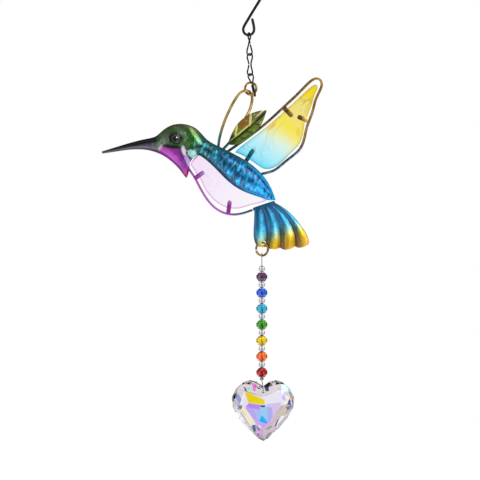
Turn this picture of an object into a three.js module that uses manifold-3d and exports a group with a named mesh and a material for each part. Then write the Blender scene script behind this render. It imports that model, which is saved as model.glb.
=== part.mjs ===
// Hummingbird sun catcher: a stamped metal bird with glass panes, a chain and S-hook above it,
// and a string of beads with a faceted crystal heart below it.
// Millimetres, +Z up, +X along the bird's tail, the painted front on the -Y side.
// The origin is the underside of the S-hook's crown, where the whole piece hangs.
import * as THREE from "three";
import { mergeVertices } from "three/addons/utils/BufferGeometryUtils.js";
import Module from "manifold-3d";

// The gap kept between pieces that touch.
const GAP = 0.3;

// S-hook: round wire, a wide crown above and a small closed eye below.
const HOOK_WIRE = 1.8;
const CROWN_RADIUS = 9.4;
const CROWN_ARC = [200, -33];
const SHANK = [[5.0, -18.4], [1.5, -24.1], [-1.9, -29.8]];
const EYE_RADIUS = 4.05;
const EYE_CENTRE = [-0.5, -35.5];
const EYE_ARC = [147, 367];
const HOOK_TIP = [[2.9, -31.3], [2.0, -27.5]];

// Chain: three wire links, each with an open bend at both ends, and a pinched waist where the
// wire's two ends meet, a share of the link's length apart.
const LINK_WIRE = 0.95;
const LINK_HALF_WIDTH = 2.1;
const LINK_HALF_WAIST = 0.75;
const LINK_CUT = 0.035;

// Jump rings: one above the bird, one through the tail.
const RING_WIRE = 1.45;
const RING_CUT = 9;
const TOP_RING = { radius: 4.4, centre: [1.0, 2.0, -77.3], turn: -20, cutAt: 60 };
const TAIL_RING = { radius: 4.7, centre: [9.07, -1.25, -192.2], turn: -26, cutAt: 190 };

// Bird: sheet metal with a plain back at Y = 0, and wires soldered behind it.
const FRAME_WIRE = 1.8;
const BELLY_WIRE = 1.5;
const WIRE_DEPTH = 1.3;
const SHEET = 1.0;
const RIM_WIDTH = 1.7;
const RIM_MOST = 0.12;
const DOME_SHARE = 0.3;
const DOME_MOST = 6.0;
const EYE_AT = [-52.0, -113.3];
const EYE_BALL = 1.5;
const BODY_ROWS = 35;

// Leaf: soldered over the hanger's right leg.
const LEAF_SHEET = 0.8;
const LEAF_FRONT = -0.75;
const LEAF_BULGE = 1.5;
const LEAF_VEINS = 5;
const VEIN_STEP = 0.55;

// Glass panes and the strips that hold them.
const PANE = 2.8;
const PANE_FRONT = 0.35;
const PANE_EDGE = 0.5;
const TAB_STRIP = 0.8;
const TAB_WIDTH = 3.0;
const TAB_CORNER = 0.3;

// Tail: a thin stamping with four flutes, hung from a rolled top edge.
const FLUTES = 4;
const FLUTE_DEPTH = 2.6;
const TAIL_SHEET = 0.8;
const TAIL_TIP_DROP = [1.0, 1.7, 2.1, 1.9];
const TAIL_EDGE_PHASE = 0.13;
const TAIL_BASE = -0.6;
const TAIL_HOLE_LONG = 3.6;
const TAIL_HOLE_HIGH = 2.7;
const TAIL_HOLE_AT = [10.35, -187.75];
const HEM = 2.5;
const HEM_ENDS = [[2.7, -163.8], [18.2, -158.6]];
const HEM_DEPTH = -0.5;

// Bead string.
const STRING_X = 8.93;
const STRING_Y = -1.18;
const STRING_WIRE = 0.5;
const STRING_TOP_Z = -194.8;
const STRING_END_Z = -203.2;
const FIRST_BEAD_Z = -206.4;
const BEAD_PITCH = 11.36;
const BEAD_PAIRS = 7;
const CLEAR_BEAD = 4.7;
const CLEAR_BEAD_LENGTH = 4.5;
const RONDELLE = 8.0;
const RONDELLE_LENGTH = 6.3;
const RONDELLE_END = 4.6;
const RONDELLE_BAND = 2.0;
const BEAD_BORE = 1.15;
const CRIMP = 2.6;
const CRIMP_LENGTH = 1.7;
const CRIMP_BORE = 1.5;
const CRIMP_Z = -284.67;

// Crystal heart: 45 mm wide and 18 mm thick, drilled front to back under its notch.
const HEART_CENTRE = [9.8, STRING_Y, -303.6];
const HEART_THICK = 18;
const HEART_GIRDLE = 3.2;
const HEART_BREAK_SHARE = 0.62;
const HEART_BORE = 1.9;
const HEART_BORE_Z = 9.9;
const HEART_WIRE_REACH = 5.6;

const wasm = await Module();
wasm.setup();

const rad = THREE.MathUtils.degToRad;
const lerp = THREE.MathUtils.lerp;
const flat = (point, y = 0) => new THREE.Vector3(point[0], y, point[1]);
const spatial = (point) => new THREE.Vector3(...point);
const curveOf = (points) => new THREE.CatmullRomCurve3(points);

// Evenly spaced points on a round arc that faces the viewer, between two angles in degrees.
function arcPoints([x, z], radius, [from, to], steps) {
  const points = [];
  for (let step = 0; step <= steps; step += 1) {
    const angle = rad(lerp(from, to, step / steps));
    points.push(flat([x + radius * Math.cos(angle), z + radius * Math.sin(angle)]));
  }
  return points;
}

// A closed geometry as a solid that can be joined and cut.
function solidOf(geometry) {
  const bare = geometry.clone();
  bare.deleteAttribute("normal");
  bare.deleteAttribute("uv");
  const merged = mergeVertices(bare, 1e-4);
  return new wasm.Manifold(new wasm.Mesh({
    numProp: 3,
    vertProperties: merged.attributes.position.array,
    triVerts: new Uint32Array(merged.index.array),
  }));
}

// A solid back as geometry.
function geometryOf(solid) {
  const mesh = solid.getMesh();
  const geometry = new THREE.BufferGeometry();
  geometry.setAttribute("position", new THREE.BufferAttribute(mesh.vertProperties, 3));
  geometry.setIndex(new THREE.BufferAttribute(mesh.triVerts, 1));
  return geometry;
}

// Round wire along a curve, with flat ends.
function wire(curve, diameter, steps, sides = 8) {
  const section = new THREE.Shape();
  section.absarc(0, 0, diameter / 2, 0, 2 * Math.PI);
  return new THREE.ExtrudeGeometry(section, {
    steps,
    curveSegments: sides / 2,
    bevelEnabled: false,
    extrudePath: curve,
  });
}

// A curve whose steps follow its own points, so that close points give close steps.
class PointedCurve extends THREE.CatmullRomCurve3 {
  getPointAt(u, target) {
    return this.getPoint(u, target);
  }

  getTangentAt(u, target) {
    return this.getTangent(u, target);
  }
}

// Rings of points joined into one closed skin. Each ring is a closed loop with the same count.
// With wrap the last ring joins the first, and without it the two end rings are closed flat:
// a ring there runs out along one face and back along the other, so its points pair across it.
function skin(rings, wrap = false) {
  const count = rings[0].length;
  const positions = rings.flat().flatMap((p) => [p.x, p.y, p.z]);
  const index = [];
  const quad = (a, b, c, d) => index.push(a, b, c, a, c, d);
  const at = (row, k) => (row % rings.length) * count + (k % count);
  const last = wrap ? rings.length : rings.length - 1;
  for (let row = 0; row < last; row += 1) {
    for (let k = 0; k < count; k += 1) {
      quad(at(row, k), at(row, k + 1), at(row + 1, k + 1), at(row + 1, k));
    }
  }
  for (let k = 0; !wrap && k < count / 2 - 1; k += 1) {
    const far = count - 1 - k;
    quad(at(0, k), at(0, far), at(0, far - 1), at(0, k + 1));
    const end = rings.length - 1;
    quad(at(end, k), at(end, k + 1), at(end, far - 1), at(end, far));
  }
  const geometry = new THREE.BufferGeometry();
  geometry.setAttribute("position", new THREE.Float32BufferAttribute(positions, 3));
  geometry.setIndex(index);
  return geometry;
}

// A pressed sheet: rows of front points, each followed back along the rear face.
function sheet(rows, thickness) {
  const rear = new THREE.Vector3(0, thickness, 0);
  return skin(rows.map((row) => [...row, ...row.map((p) => p.clone().add(rear)).reverse()]));
}

const parts = new THREE.Group();

// Adds one piece with its own material.
function add(name, geometry, color, roughness, metalness, extra = {}) {
  const material = new THREE.MeshStandardMaterial({ color, roughness, metalness, ...extra });
  const mesh = new THREE.Mesh(geometry, material);
  mesh.name = name;
  parts.add(mesh);
  return mesh;
}

// The hook's wire: crown, straight shank, closed eye and a short upright tip.
function hookCurve() {
  const crownCentre = [0, HOOK_WIRE / 2 - CROWN_RADIUS];
  return curveOf([
    ...arcPoints(crownCentre, CROWN_RADIUS, CROWN_ARC, 10),
    ...SHANK.map((p) => flat(p)),
    ...arcPoints(EYE_CENTRE, EYE_RADIUS, EYE_ARC, 8),
    ...HOOK_TIP.map((p) => flat(p)),
  ]);
}

// Half width of a link at a share of its length, as shares of the bend and the waist.
const LINK_SHAPE = [
  [0.03, 0.6, 0], [0.09, 1, 0], [0.2, 0.9, 0.1], [0.35, 0.3, 0.7],
  [0.5, 0, 1],
  [0.65, 0.3, 0.7], [0.8, 0.9, 0.1], [0.91, 1, 0], [0.97, 0.6, 0],
];

// One link's wire: from the cut at the waist down round the lower bend, up the other side,
// over the upper bend and back to the cut. The two strands turn about the link's axis from
// the upper bend's angle to the lower bend's.
function linkCurve(axis, upperTurn, lowerTurn) {
  const strand = ([share, bend, waist], side) => {
    const turn = rad(lerp(upperTurn, lowerTurn, THREE.MathUtils.smoothstep(share, 0.15, 0.85)));
    const half = side * (bend * LINK_HALF_WIDTH + waist * LINK_HALF_WAIST);
    const point = axis.getPoint(share);
    return point.add(new THREE.Vector3(half * Math.cos(turn), half * Math.sin(turn), 0));
  };
  const waist = (LINK_SHAPE.length - 1) / 2;
  const left = LINK_SHAPE.map((entry) => strand(entry, -1));
  const right = LINK_SHAPE.map((entry) => strand(entry, 1)).reverse();
  const ends = [0.5 + LINK_CUT / 2, 0.5 - LINK_CUT / 2].map((share) => strand([share, 0, 1], -1));
  return curveOf([
    ends[0], ...left.slice(waist + 1), axis.getPoint(1),
    ...right, axis.getPoint(0),
    ...left.slice(0, waist), ends[1],
  ]);
}

function addChain() {
  const links = [
    { axis: [[-0.1, 0, -37.6], [0.2, 0, -53.95]], upper: 62, lower: 208 },
    { axis: [[0.35, 0, -52.45], [0.5, 0, -68.3]], upper: -28, lower: 28 },
    { axis: [[0.65, 0, -66.8], [2.1, -0.9, -74.4], [4.1, 1.2, -82.95]], upper: -28, lower: -76 },
  ];
  links.forEach(({ axis, upper, lower }, number) => {
    const curve = linkCurve(curveOf(axis.map(spatial)), upper, lower);
    add(`chain_link_${number + 1}`, wire(curve, LINK_WIRE, 30, 6), 0x2b2a2e, 0.45, 0.8);
  });
}

// A round jump ring with a fine cut, facing the viewer before it is turned.
function addRing(name, { radius, centre, turn, cutAt }) {
  const steps = 20;
  const arc = [cutAt + RING_CUT / 2, cutAt + 360 - RING_CUT / 2];
  const curve = new PointedCurve(arcPoints([0, 0], radius, arc, steps));
  const mesh = add(name, wire(curve, RING_WIRE, steps), 0x9a7440, 0.35, 0.9);
  mesh.position.set(...centre);
  mesh.rotation.z = rad(turn);
}

// The wire hanger: a tall loop whose two legs end behind the bird's back, bent at its top
// so that it passes in front of the ring's left side and behind the ring's foot.
const HANGER_POINTS = [
  [-22.2, 1.3, -120.6], [-21.6, 1.3, -114.3], [-18.5, 1.3, -102.9], [-13.2, 1.3, -90.7],
  [-8.3, 1.2, -82.5], [-5.5, 1.0, -79.7], [-2.6, 0.7, -78.8], [0.1, 2.4, -79.1],
  [2.1, 4.7, -82.5], [1.6, 3.7, -88.3], [-0.6, 2.2, -94.6], [-3.4, 1.3, -99.6],
  [-8.6, 1.3, -108.5], [-14.8, 1.3, -116.6], [-19.6, 1.3, -121.6],
];

// The wing's wire, from behind the back round the wing tip to the body's rear.
const WING_FRAME_POINTS = [
  [-16.0, -122.8], [-8.8, -117.8], [1.9, -110.1], [13.4, -101.0], [24.1, -91.1], [34.1, -81.8],
  [42.6, -73.2], [46.9, -69.9], [50.7, -70.3], [52.3, -74.0], [50.0, -79.9], [47.3, -85.4],
  [45.4, -93.6], [40.9, -105.7], [39.2, -114.0], [36.2, -120.9], [29.1, -127.0], [22.9, -132.0],
  [18.4, -135.8], [12.4, -137.7], [6.4, -138.9],
];

// The belly's wire, from behind the throat round to the tail's rolled edge.
const BELLY_FRAME_POINTS = [
  [-44.2, -133.4], [-42.0, -136.6], [-38.8, -141.4], [-35.2, -148.3], [-31.6, -154.5],
  [-27.4, -160.0], [-22.7, -164.1], [-17.4, -166.6], [-12.4, -167.5], [-7.4, -167.2],
  [-2.4, -165.9], [2.4, -164.2],
];

function addFrames() {
  const hanger = curveOf(HANGER_POINTS.map(spatial));
  const wing = curveOf(WING_FRAME_POINTS.map((p) => flat(p, WIRE_DEPTH)));
  const belly = curveOf(BELLY_FRAME_POINTS.map((p) => flat(p, WIRE_DEPTH)));
  add("hanger_loop", wire(hanger, FRAME_WIRE, 34), 0xa88436, 0.4, 0.85);
  add("wing_frame", wire(wing, FRAME_WIRE, 44), 0x8a6b3a, 0.4, 0.85);
  add("belly_frame", wire(belly, BELLY_WIRE, 26), 0x8d3f9c, 0.4, 0.6);
}

// The stamped leaf, as base-to-tip points of its upper edge, midrib and lower edge.
const LEAF_UPPER = [
  [-15.2, -116.8], [-14.0, -113.0], [-12.2, -109.0], [-9.9, -104.9], [-7.4, -101.6],
  [-4.2, -98.8], [-0.6, -96.4], [3.2, -94.6], [7.4, -93.4], [12.0, -92.9],
];
const LEAF_RIB = [
  [-15.4, -117.2], [-11.6, -114.2], [-8.4, -111.6], [-5.3, -109.2], [-2.3, -106.9],
  [0.6, -104.6], [3.3, -102.0], [6.0, -99.2], [9.0, -96.2], [12.3, -93.2],
];
const LEAF_LOWER = [
  [-15.0, -117.6], [-10.6, -118.0], [-6.6, -116.6], [-3.0, -114.6], [0.6, -112.0],
  [3.8, -109.0], [6.4, -106.2], [8.6, -103.2], [10.4, -99.4], [12.4, -93.6],
];

// The leaf's face stands forward in each half between rib and edge. Each panel between two
// side veins tilts, so that the veins show as steps.
function leafGeometry() {
  const edges = [LEAF_UPPER, LEAF_RIB, LEAF_LOWER].map((line) => curveOf(line.map((p) => flat(p))));
  const rows = [];
  const perVein = 3;
  const stations = LEAF_VEINS * perVein;
  for (let station = 0; station <= stations; station += 1) {
    const share = station / stations;
    const tilt = (station % perVein) / (perVein - 1);
    const height = Math.sin(Math.PI * share) ** 0.7 * (LEAF_BULGE + VEIN_STEP * (tilt - 0.5));
    const [upper, rib, lower] = edges.map((edge) => edge.getPoint(share));
    const place = (from, to, across, bulge) => {
      const point = from.clone().lerp(to, across);
      point.y = LEAF_FRONT - height * Math.sin(Math.PI * bulge);
      return point;
    };
    rows.push([
      ...[0, 0.3, 0.6].map((across) => place(upper, rib, across, 0.25 + 0.75 * across)),
      ...[0, 0.35, 0.7, 1].map((across) => place(rib, lower, across, 0.75 * across)),
    ]);
  }
  return sheet(rows, LEAF_SHEET);
}

// The bird's outline as pairs of points, from the beak's tip to the tail end: the upper line
// over the beak, crown and back, and the lower line along the beak, throat and belly opening.
const BODY_PAIRS = [
  [[-105.3, -122.5], [-105.0, -124.0]], [[-95.9, -119.6], [-95.9, -122.7]],
  [[-85.2, -116.3], [-85.2, -121.1]], [[-74.5, -113.6], [-74.5, -121.1]],
  [[-67.4, -112.2], [-68.1, -122.6]], [[-63.8, -109.3], [-63.8, -124.3]],
  [[-60.2, -106.1], [-59.5, -126.6]], [[-54.5, -103.3], [-53.8, -131.1]],
  [[-48.8, -102.7], [-48.8, -136.4]], [[-43.8, -103.4], [-45.0, -141.6]],
  [[-39.5, -105.1], [-43.1, -137.0]], [[-36.3, -107.5], [-43.1, -132.5]],
  [[-33.1, -110.9], [-41.3, -128.4]], [[-29.9, -114.4], [-36.6, -124.7]],
  [[-24.5, -117.6], [-30.2, -129.1]], [[-17.4, -120.9], [-23.4, -135.4]],
  [[-9.5, -125.0], [-16.3, -142.9]], [[-1.6, -129.4], [-8.1, -149.1]],
  [[6.0, -135.4], [0.5, -152.9]], [[11.9, -142.1], [6.9, -155.0]],
  [[16.2, -149.6], [11.2, -156.6]], [[18.9, -157.2], [13.9, -157.5]],
];
const BODY_COLUMNS = [0.07, 0.22, 0.5, 0.78, 0.93];

// One row of the bird's front: a flat rim at both edges and a round arch between them.
function bodyRow(upper, lower) {
  const width = upper.distanceTo(lower);
  const height = Math.min(DOME_SHARE * width, DOME_MOST);
  const rim = Math.min(RIM_WIDTH / width, RIM_MOST);
  const place = (across, lift) => {
    const point = upper.clone().lerp(lower, across);
    point.y = -SHEET - lift;
    return point;
  };
  const arch = BODY_COLUMNS.map((share) => {
    const lift = height * Math.sqrt(1 - (2 * share - 1) ** 2);
    return place(lerp(rim, 1 - rim, share), lift);
  });
  return [place(0, 0), place(rim, 0), ...arch, place(1 - rim, 0), place(1, 0)];
}

// The whole bird is one stamping, with the eye as a round boss.
function bodyGeometry() {
  const lineOf = (side) => curveOf(BODY_PAIRS.map((pair) => flat(pair[side])));
  const [upperLine, lowerLine] = [lineOf(0), lineOf(1)];
  const rows = [];
  for (let row = 0; row <= BODY_ROWS; row += 1) {
    const share = row / BODY_ROWS;
    rows.push(bodyRow(upperLine.getPoint(share), lowerLine.getPoint(share)));
  }
  const ball = new THREE.SphereGeometry(EYE_BALL, 8, 6);
  ball.translate(EYE_AT[0], -SHEET - DOME_MOST, EYE_AT[1]);
  return geometryOf(solidOf(sheet(rows, SHEET)).add(solidOf(ball)));
}

// The wing pane's outline, kept clear of its wire and of the bird's back.
const WING_PANE_POINTS = [
  [-9.9, -122.9], [-8.6, -121.0], [-2.4, -116.0], [9.1, -107.3], [21.9, -96.6], [34.1, -85.2],
  [42.6, -77.4], [46.0, -74.8], [48.0, -74.6], [49.0, -76.4], [46.7, -82.0], [44.0, -91.0],
  [39.9, -101.0], [38.4, -110.0], [36.0, -116.6], [32.6, -120.6], [26.9, -126.2], [21.3, -131.6],
  [16.6, -134.2], [12.3, -135.0], [8.6, -133.9], [4.0, -130.8], [-0.9, -127.4], [-5.6, -124.7],
  [-9.0, -123.5],
];

// The belly pane's outline: tucked behind the bird's edge above, clear of its wire below.
const BELLY_PANE_POINTS = [
  [-42.0, -131.6], [-40.1, -134.6], [-36.8, -139.4], [-33.9, -144.5], [-31.4, -149.6],
  [-27.9, -154.4], [-23.4, -158.6], [-18.4, -161.6], [-12.9, -163.1], [-7.4, -163.0],
  [-1.9, -161.6], [4.1, -159.8], [12.2, -157.6],
  [10.6, -155.2], [2.0, -152.4], [-6.0, -148.6], [-14.4, -142.6], [-22.0, -134.7],
  [-29.0, -128.2], [-34.6, -124.6], [-37.0, -124.6], [-40.2, -128.4],
];

// A glass pane: its outline pressed to an even thickness, with a small rounded edge.
function pane(points) {
  const outline = new THREE.Shape();
  const edge = new THREE.CatmullRomCurve3(points.map((p) => flat(p)), true);
  const corners = edge.getPoints(Math.round(points.length * 1.4)).slice(0, -1);
  outline.setFromPoints(corners.map((p) => new THREE.Vector2(p.x, p.z)));
  const geometry = new THREE.ExtrudeGeometry(outline, {
    depth: PANE - 2 * PANE_EDGE,
    bevelEnabled: true,
    bevelThickness: PANE_EDGE,
    bevelSize: PANE_EDGE,
    bevelOffset: -PANE_EDGE,
    bevelSegments: 1,
  });
  geometry.rotateX(Math.PI / 2);
  geometry.translate(0, PANE_FRONT + PANE - PANE_EDGE, 0);
  return geometry;
}

// A holding strip before its ends are rounded: a leaf on each face of the pane, joined past the
// pane's edge. It starts beside the wire and runs along +X.
function tabStrip(length) {
  const front = PANE_FRONT - GAP - TAB_STRIP;
  const back = PANE_FRONT + PANE + GAP + TAB_STRIP;
  const bend = new THREE.Shape();
  bend.moveTo(0, front + TAB_CORNER);
  bend.lineTo(TAB_CORNER, front);
  bend.lineTo(length, front);
  bend.lineTo(length, front + TAB_STRIP);
  bend.lineTo(TAB_STRIP, front + TAB_STRIP);
  bend.lineTo(TAB_STRIP, back - TAB_STRIP);
  bend.lineTo(length, back - TAB_STRIP);
  bend.lineTo(length, back);
  bend.lineTo(TAB_CORNER, back);
  bend.lineTo(0, back - TAB_CORNER);
  const strip = new THREE.ExtrudeGeometry(bend, { depth: TAB_WIDTH, bevelEnabled: false });
  strip.translate(0, 0, -TAB_WIDTH / 2);
  return strip;
}

// The strip from its root beside the wire, cut to a round end in plan and turned into place.
function tabGeometry(root, end) {
  const length = Math.hypot(end[0] - root[0], end[1] - root[1]);
  const plan = new THREE.Shape();
  const half = TAB_WIDTH / 2;
  plan.moveTo(-1, -half);
  plan.lineTo(length - half, -half);
  plan.absarc(length - half, 0, half, -Math.PI / 2, Math.PI / 2);
  plan.lineTo(-1, half);
  const cutter = new THREE.ExtrudeGeometry(plan, { depth: 20, curveSegments: 6, bevelEnabled: false });
  cutter.rotateX(Math.PI / 2);
  cutter.translate(0, 10, 0);
  const shaped = geometryOf(solidOf(tabStrip(length)).intersect(solidOf(cutter)));
  shaped.rotateY(-Math.atan2(end[1] - root[1], end[0] - root[0]));
  shaped.translate(root[0], 0, root[1]);
  return shaped;
}

// Each strip's root and end.
const WING_TABS = [
  [[25.4, -91.7], [30.9, -97.4]], [[41.65, -100.1], [34.5, -97.4]], [[-1.9, -128.6], [3.1, -120.7]],
];
const BELLY_TABS = [[[-37.75, -140.8], [-32.3, -136.9]], [[-15.0, -166.0], [-13.9, -157.4]]];
const WING_TAB_COLOURS = [0x6b4a1c, 0x6b4a1c, 0x0d6c7c];

function addPanes() {
  const glass = { transparent: true, opacity: 0.5 };
  add("wing_glass", pane(WING_PANE_POINTS), 0xcfe88a, 0.08, 0, glass);
  add("belly_glass", pane(BELLY_PANE_POINTS), 0xf3def5, 0.08, 0, glass);
  WING_TABS.forEach(([root, end], k) => {
    add(`wing_tab_${k + 1}`, tabGeometry(root, end), WING_TAB_COLOURS[k], 0.4, 0.8);
  });
  BELLY_TABS.forEach(([root, end], k) => {
    add(`belly_tab_${k + 1}`, tabGeometry(root, end), 0x8f3a94, 0.4, 0.7);
  });
}

// The tail's five long lines from the rolled edge to the foot: outer edge, three valleys, outer edge.
const TAIL_LINES = [
  [[3.5, -164.0], [3.6, -169.0], [3.2, -175.7], [2.9, -180.7], [3.4, -185.7], [4.9, -189.3]],
  [[9.1, -162.1], [11.4, -168.6], [12.5, -175.0], [13.2, -181.4], [12.6, -186.2], [11.9, -190.4]],
  [[13.0, -160.8], [18.2, -167.1], [21.0, -173.6], [22.4, -180.7], [22.4, -185.7], [21.8, -191.1]],
  [[15.6, -160.0], [23.4, -165.7], [28.2, -171.8], [31.5, -178.9], [32.5, -184.3], [32.5, -190.2]],
  [[18.6, -159.2], [25.9, -163.3], [31.6, -168.8], [37.3, -175.6], [41.6, -182.7], [42.7, -188.2]],
];

// One row across the tail at a share of its length: each flute stands forward between two lines,
// and its round tip drops below them at the foot.
function tailRow(lines, share) {
  const perFlute = 5;
  const points = lines.map((line) => line.getPoint(share));
  const row = [];
  for (let column = 0; column <= FLUTES * perFlute; column += 1) {
    const flute = Math.min(Math.floor(column / perFlute), FLUTES - 1);
    const across = column / perFlute - flute;
    const point = points[flute].clone().lerp(points[flute + 1], across);
    const phase = lerp(TAIL_EDGE_PHASE, FLUTES - TAIL_EDGE_PHASE, column / (FLUTES * perFlute));
    const rise = Math.abs(Math.sin(Math.PI * phase)) ** 0.8;
    const drop = 1 - (2 * across - 1) ** 2;
    point.y = TAIL_BASE - FLUTE_DEPTH * Math.min(0.35 + share, 1) * rise;
    point.z -= TAIL_TIP_DROP[flute] * Math.sqrt(drop) * share ** 6;
    row.push(point);
  }
  return row;
}

// The fluted sheet with its rolled top edge, and the oval hole for the ring by its left foot.
function tailGeometry() {
  const lines = TAIL_LINES.map((line) => curveOf(line.map((p) => flat(p))));
  const shares = [1, 0.93, 0.84, 0.7, 0.52, 0.34, 0.16, 0];
  const fluted = solidOf(sheet(shares.map((share) => tailRow(lines, share)), TAIL_SHEET));
  const roll = new THREE.LineCurve3(...HEM_ENDS.map((p) => flat(p, HEM_DEPTH)));
  const punch = new THREE.CylinderGeometry(TAIL_HOLE_LONG / 2, TAIL_HOLE_LONG / 2, 20, 10);
  punch.scale(1, 1, TAIL_HOLE_HIGH / TAIL_HOLE_LONG);
  punch.translate(TAIL_HOLE_AT[0], 0, TAIL_HOLE_AT[1]);
  return geometryOf(fluted.add(solidOf(wire(roll, HEM, 1))).subtract(solidOf(punch)));
}

// The string's wire: a short end up behind the tail ring, over it and down its front, straight
// through the beads and the crimp, and down through the heart's bore and up behind it.
function stringCurve() {
  const bore = HEART_CENTRE[2] + HEART_BORE_Z;
  const side = HEART_CENTRE[0] - STRING_X;
  const reach = HEART_WIRE_REACH;
  const points = [
    [0, 0.5, STRING_END_Z], [0, 0.55, -200.4], [0, 1.15, -198.0], [0, 1.42, -196.3],
    [0, 1.05, -195.2], [0, 0, STRING_TOP_Z], [0, -1.05, -195.2], [0, -1.42, -196.3],
    [0, -1.1, -198.2], [0, -0.35, -200.6], [0, -0.1, -203.2], [0, 0, -206],
    [0, 0, -232], [0, 0, -258], [0, 0, -281], [0, 0, -285.9],
    [0.3, -1.6, -287.2], [0.6, -4.4, -289.6], [side, -reach, -292.2], [side, -reach + 0.4, bore],
    [side, -2.6, bore], [side, 2.6, bore], [side, reach - 0.4, bore], [side, reach, -292.2],
    [0.6, 4.4, -289.6], [0.3, 1.7, -287.4], [0.1, 0.75, -286.8],
  ];
  return new PointedCurve(points.map(([x, y, z]) => new THREE.Vector3(STRING_X + x, STRING_Y + y, z)));
}

// A bored bead of rings of points round the string, alternate rings turned by half a facet.
function facetedBead(profile, facets) {
  return skin(profile.map(([radius, z, turned]) => {
    const points = [];
    for (let facet = 0; facet < facets; facet += 1) {
      const angle = (2 * Math.PI * (facet + (turned ? 0.5 : 0))) / facets;
      points.push(new THREE.Vector3(radius * Math.cos(angle), radius * Math.sin(angle), z));
    }
    return points;
  }), true);
}

// A pressed glass rondelle: flat ends, and zigzag facets round its widest part.
function rondelle() {
  const half = RONDELLE_LENGTH / 2;
  const band = RONDELLE_BAND / 2;
  const [bore, end, widest] = [BEAD_BORE / 2, RONDELLE_END / 2, RONDELLE / 2];
  return facetedBead([
    [bore, half, false], [bore, -half, false], [end, -half, false], [widest, -band, true],
    [widest, band, false], [end, half, true],
  ], 10);
}

// A small round clear bead.
function clearBead() {
  const half = CLEAR_BEAD_LENGTH / 2;
  const bore = BEAD_BORE / 2;
  const profile = [[bore, half, false], [bore, -half, false]];
  for (const share of [-0.84, -0.32, 0.32, 0.84]) {
    profile.push([(CLEAR_BEAD / 2) * Math.sqrt(1 - share ** 2), half * share * 1.15, false]);
  }
  return facetedBead(profile, 8);
}

const RONDELLE_COLOURS = [0x4a1040, 0x1446c8, 0x28b4ec, 0x3fa013, 0xf0c000, 0xf26a10, 0xb00606];

// The metal tube that is pressed onto the wire under the last bead.
function crimpGeometry() {
  const [bore, outer, half] = [CRIMP_BORE / 2, CRIMP / 2, CRIMP_LENGTH / 2];
  const section = [[bore, -half], [outer, -half], [outer, half], [bore, half], [bore, -half]];
  const crimp = new THREE.LatheGeometry(section.map(([r, z]) => new THREE.Vector2(r, z)), 10);
  crimp.rotateX(Math.PI / 2);
  return crimp;
}

function addString() {
  const place = (mesh, z) => mesh.position.set(STRING_X, STRING_Y, z);
  const glass = { transparent: true, opacity: 0.8 };
  add("beading_wire", wire(stringCurve(), STRING_WIRE, 52, 6), 0x8c8a88, 0.35, 0.9);
  for (let pair = 0; pair < BEAD_PAIRS; pair += 1) {
    const z = FIRST_BEAD_Z - pair * BEAD_PITCH;
    place(add(`clear_bead_${pair + 1}`, clearBead(), 0xe6eaee, 0.05, 0, glass), z);
    const bead = add(`rondelle_${pair + 1}`, rondelle(), RONDELLE_COLOURS[pair], 0.05, 0, glass);
    place(bead, z - BEAD_PITCH / 2);
  }
  place(add("crimp", crimpGeometry(), 0xb8b4ae, 0.35, 0.9), CRIMP_Z);
}

// The heart's rings, as points of the right half from the notch to the tip: girdle, crown break
// and table. The left half mirrors them.
const HEART_GIRDLE_HALF = [
  [0, 13.4], [4.4, 16.7], [9.4, 17.9], [14.2, 16.2], [19.2, 11.6], [22.3, 5.4], [21.6, -1.4],
  [17.4, -8.8], [10.6, -16.8], [3.6, -23.4], [0, -25.6],
];
const HEART_BREAK_HALF = [
  [0, 8.4], [8.6, 13.6], [15.6, 11.0], [18.9, 3.4], [16.0, -6.0], [8.0, -16.2], [0, -21.4],
];
const HEART_TABLE_HALF = [[0, 7.2], [12.8, 11.6], [15.7, 1.6], [0, -15.1]];

// A closed ring from a half outline, anticlockwise as seen from the front.
function heartRing(half, y) {
  const right = half.map(([x, z]) => new THREE.Vector3(x, y, z)).reverse();
  const left = half.slice(1, -1).map(([x, z]) => new THREE.Vector3(-x, y, z));
  return [...right, ...left];
}

// How far round the heart a ring's point lies, as an angle from the tip about a point in its middle.
function turnOf(heartPoints, k) {
  const middleZ = 2;
  const { x, z } = heartPoints[k % heartPoints.length];
  if (k === heartPoints.length) return 2 * Math.PI;
  const angle = Math.atan2(x, middleZ - z);
  return angle < 0 ? angle + 2 * Math.PI : angle;
}

// Triangles between two rings of unlike counts, each step taken on the ring that lies behind.
function facetBand(outer, inner, triangles) {
  const pointOf = (points, k) => points[k % points.length];
  let a = 0;
  let b = 0;
  while (a < outer.length || b < inner.length) {
    const outerTurn = a < outer.length ? turnOf(outer, a + 1) : Infinity;
    const innerTurn = b < inner.length ? turnOf(inner, b + 1) : Infinity;
    const onOuter = outerTurn <= innerTurn;
    const next = onOuter ? pointOf(outer, a + 1) : pointOf(inner, b + 1);
    triangles.push([pointOf(outer, a), next, pointOf(inner, b)]);
    if (onOuter) a += 1;
    else b += 1;
  }
}

// One face of the heart, from the girdle up to a flat table.
function heartFace(side, triangles) {
  const rings = [
    heartRing(HEART_GIRDLE_HALF, (-side * HEART_GIRDLE) / 2),
    heartRing(HEART_BREAK_HALF, -side * lerp(HEART_GIRDLE, HEART_THICK, HEART_BREAK_SHARE) / 2),
    heartRing(HEART_TABLE_HALF, (-side * HEART_THICK) / 2),
  ];
  const face = [];
  facetBand(rings[0], rings[1], face);
  facetBand(rings[1], rings[2], face);
  const table = rings[2];
  const contour = table.map((p) => new THREE.Vector2(p.x, p.z));
  for (const [i, j, k] of THREE.ShapeUtils.triangulateShape(contour, [])) {
    face.push([table[i], table[j], table[k]]);
  }
  for (const [i, j, k] of face) triangles.push(side > 0 ? [i, j, k] : [i, k, j]);
  return rings[0];
}

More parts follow.
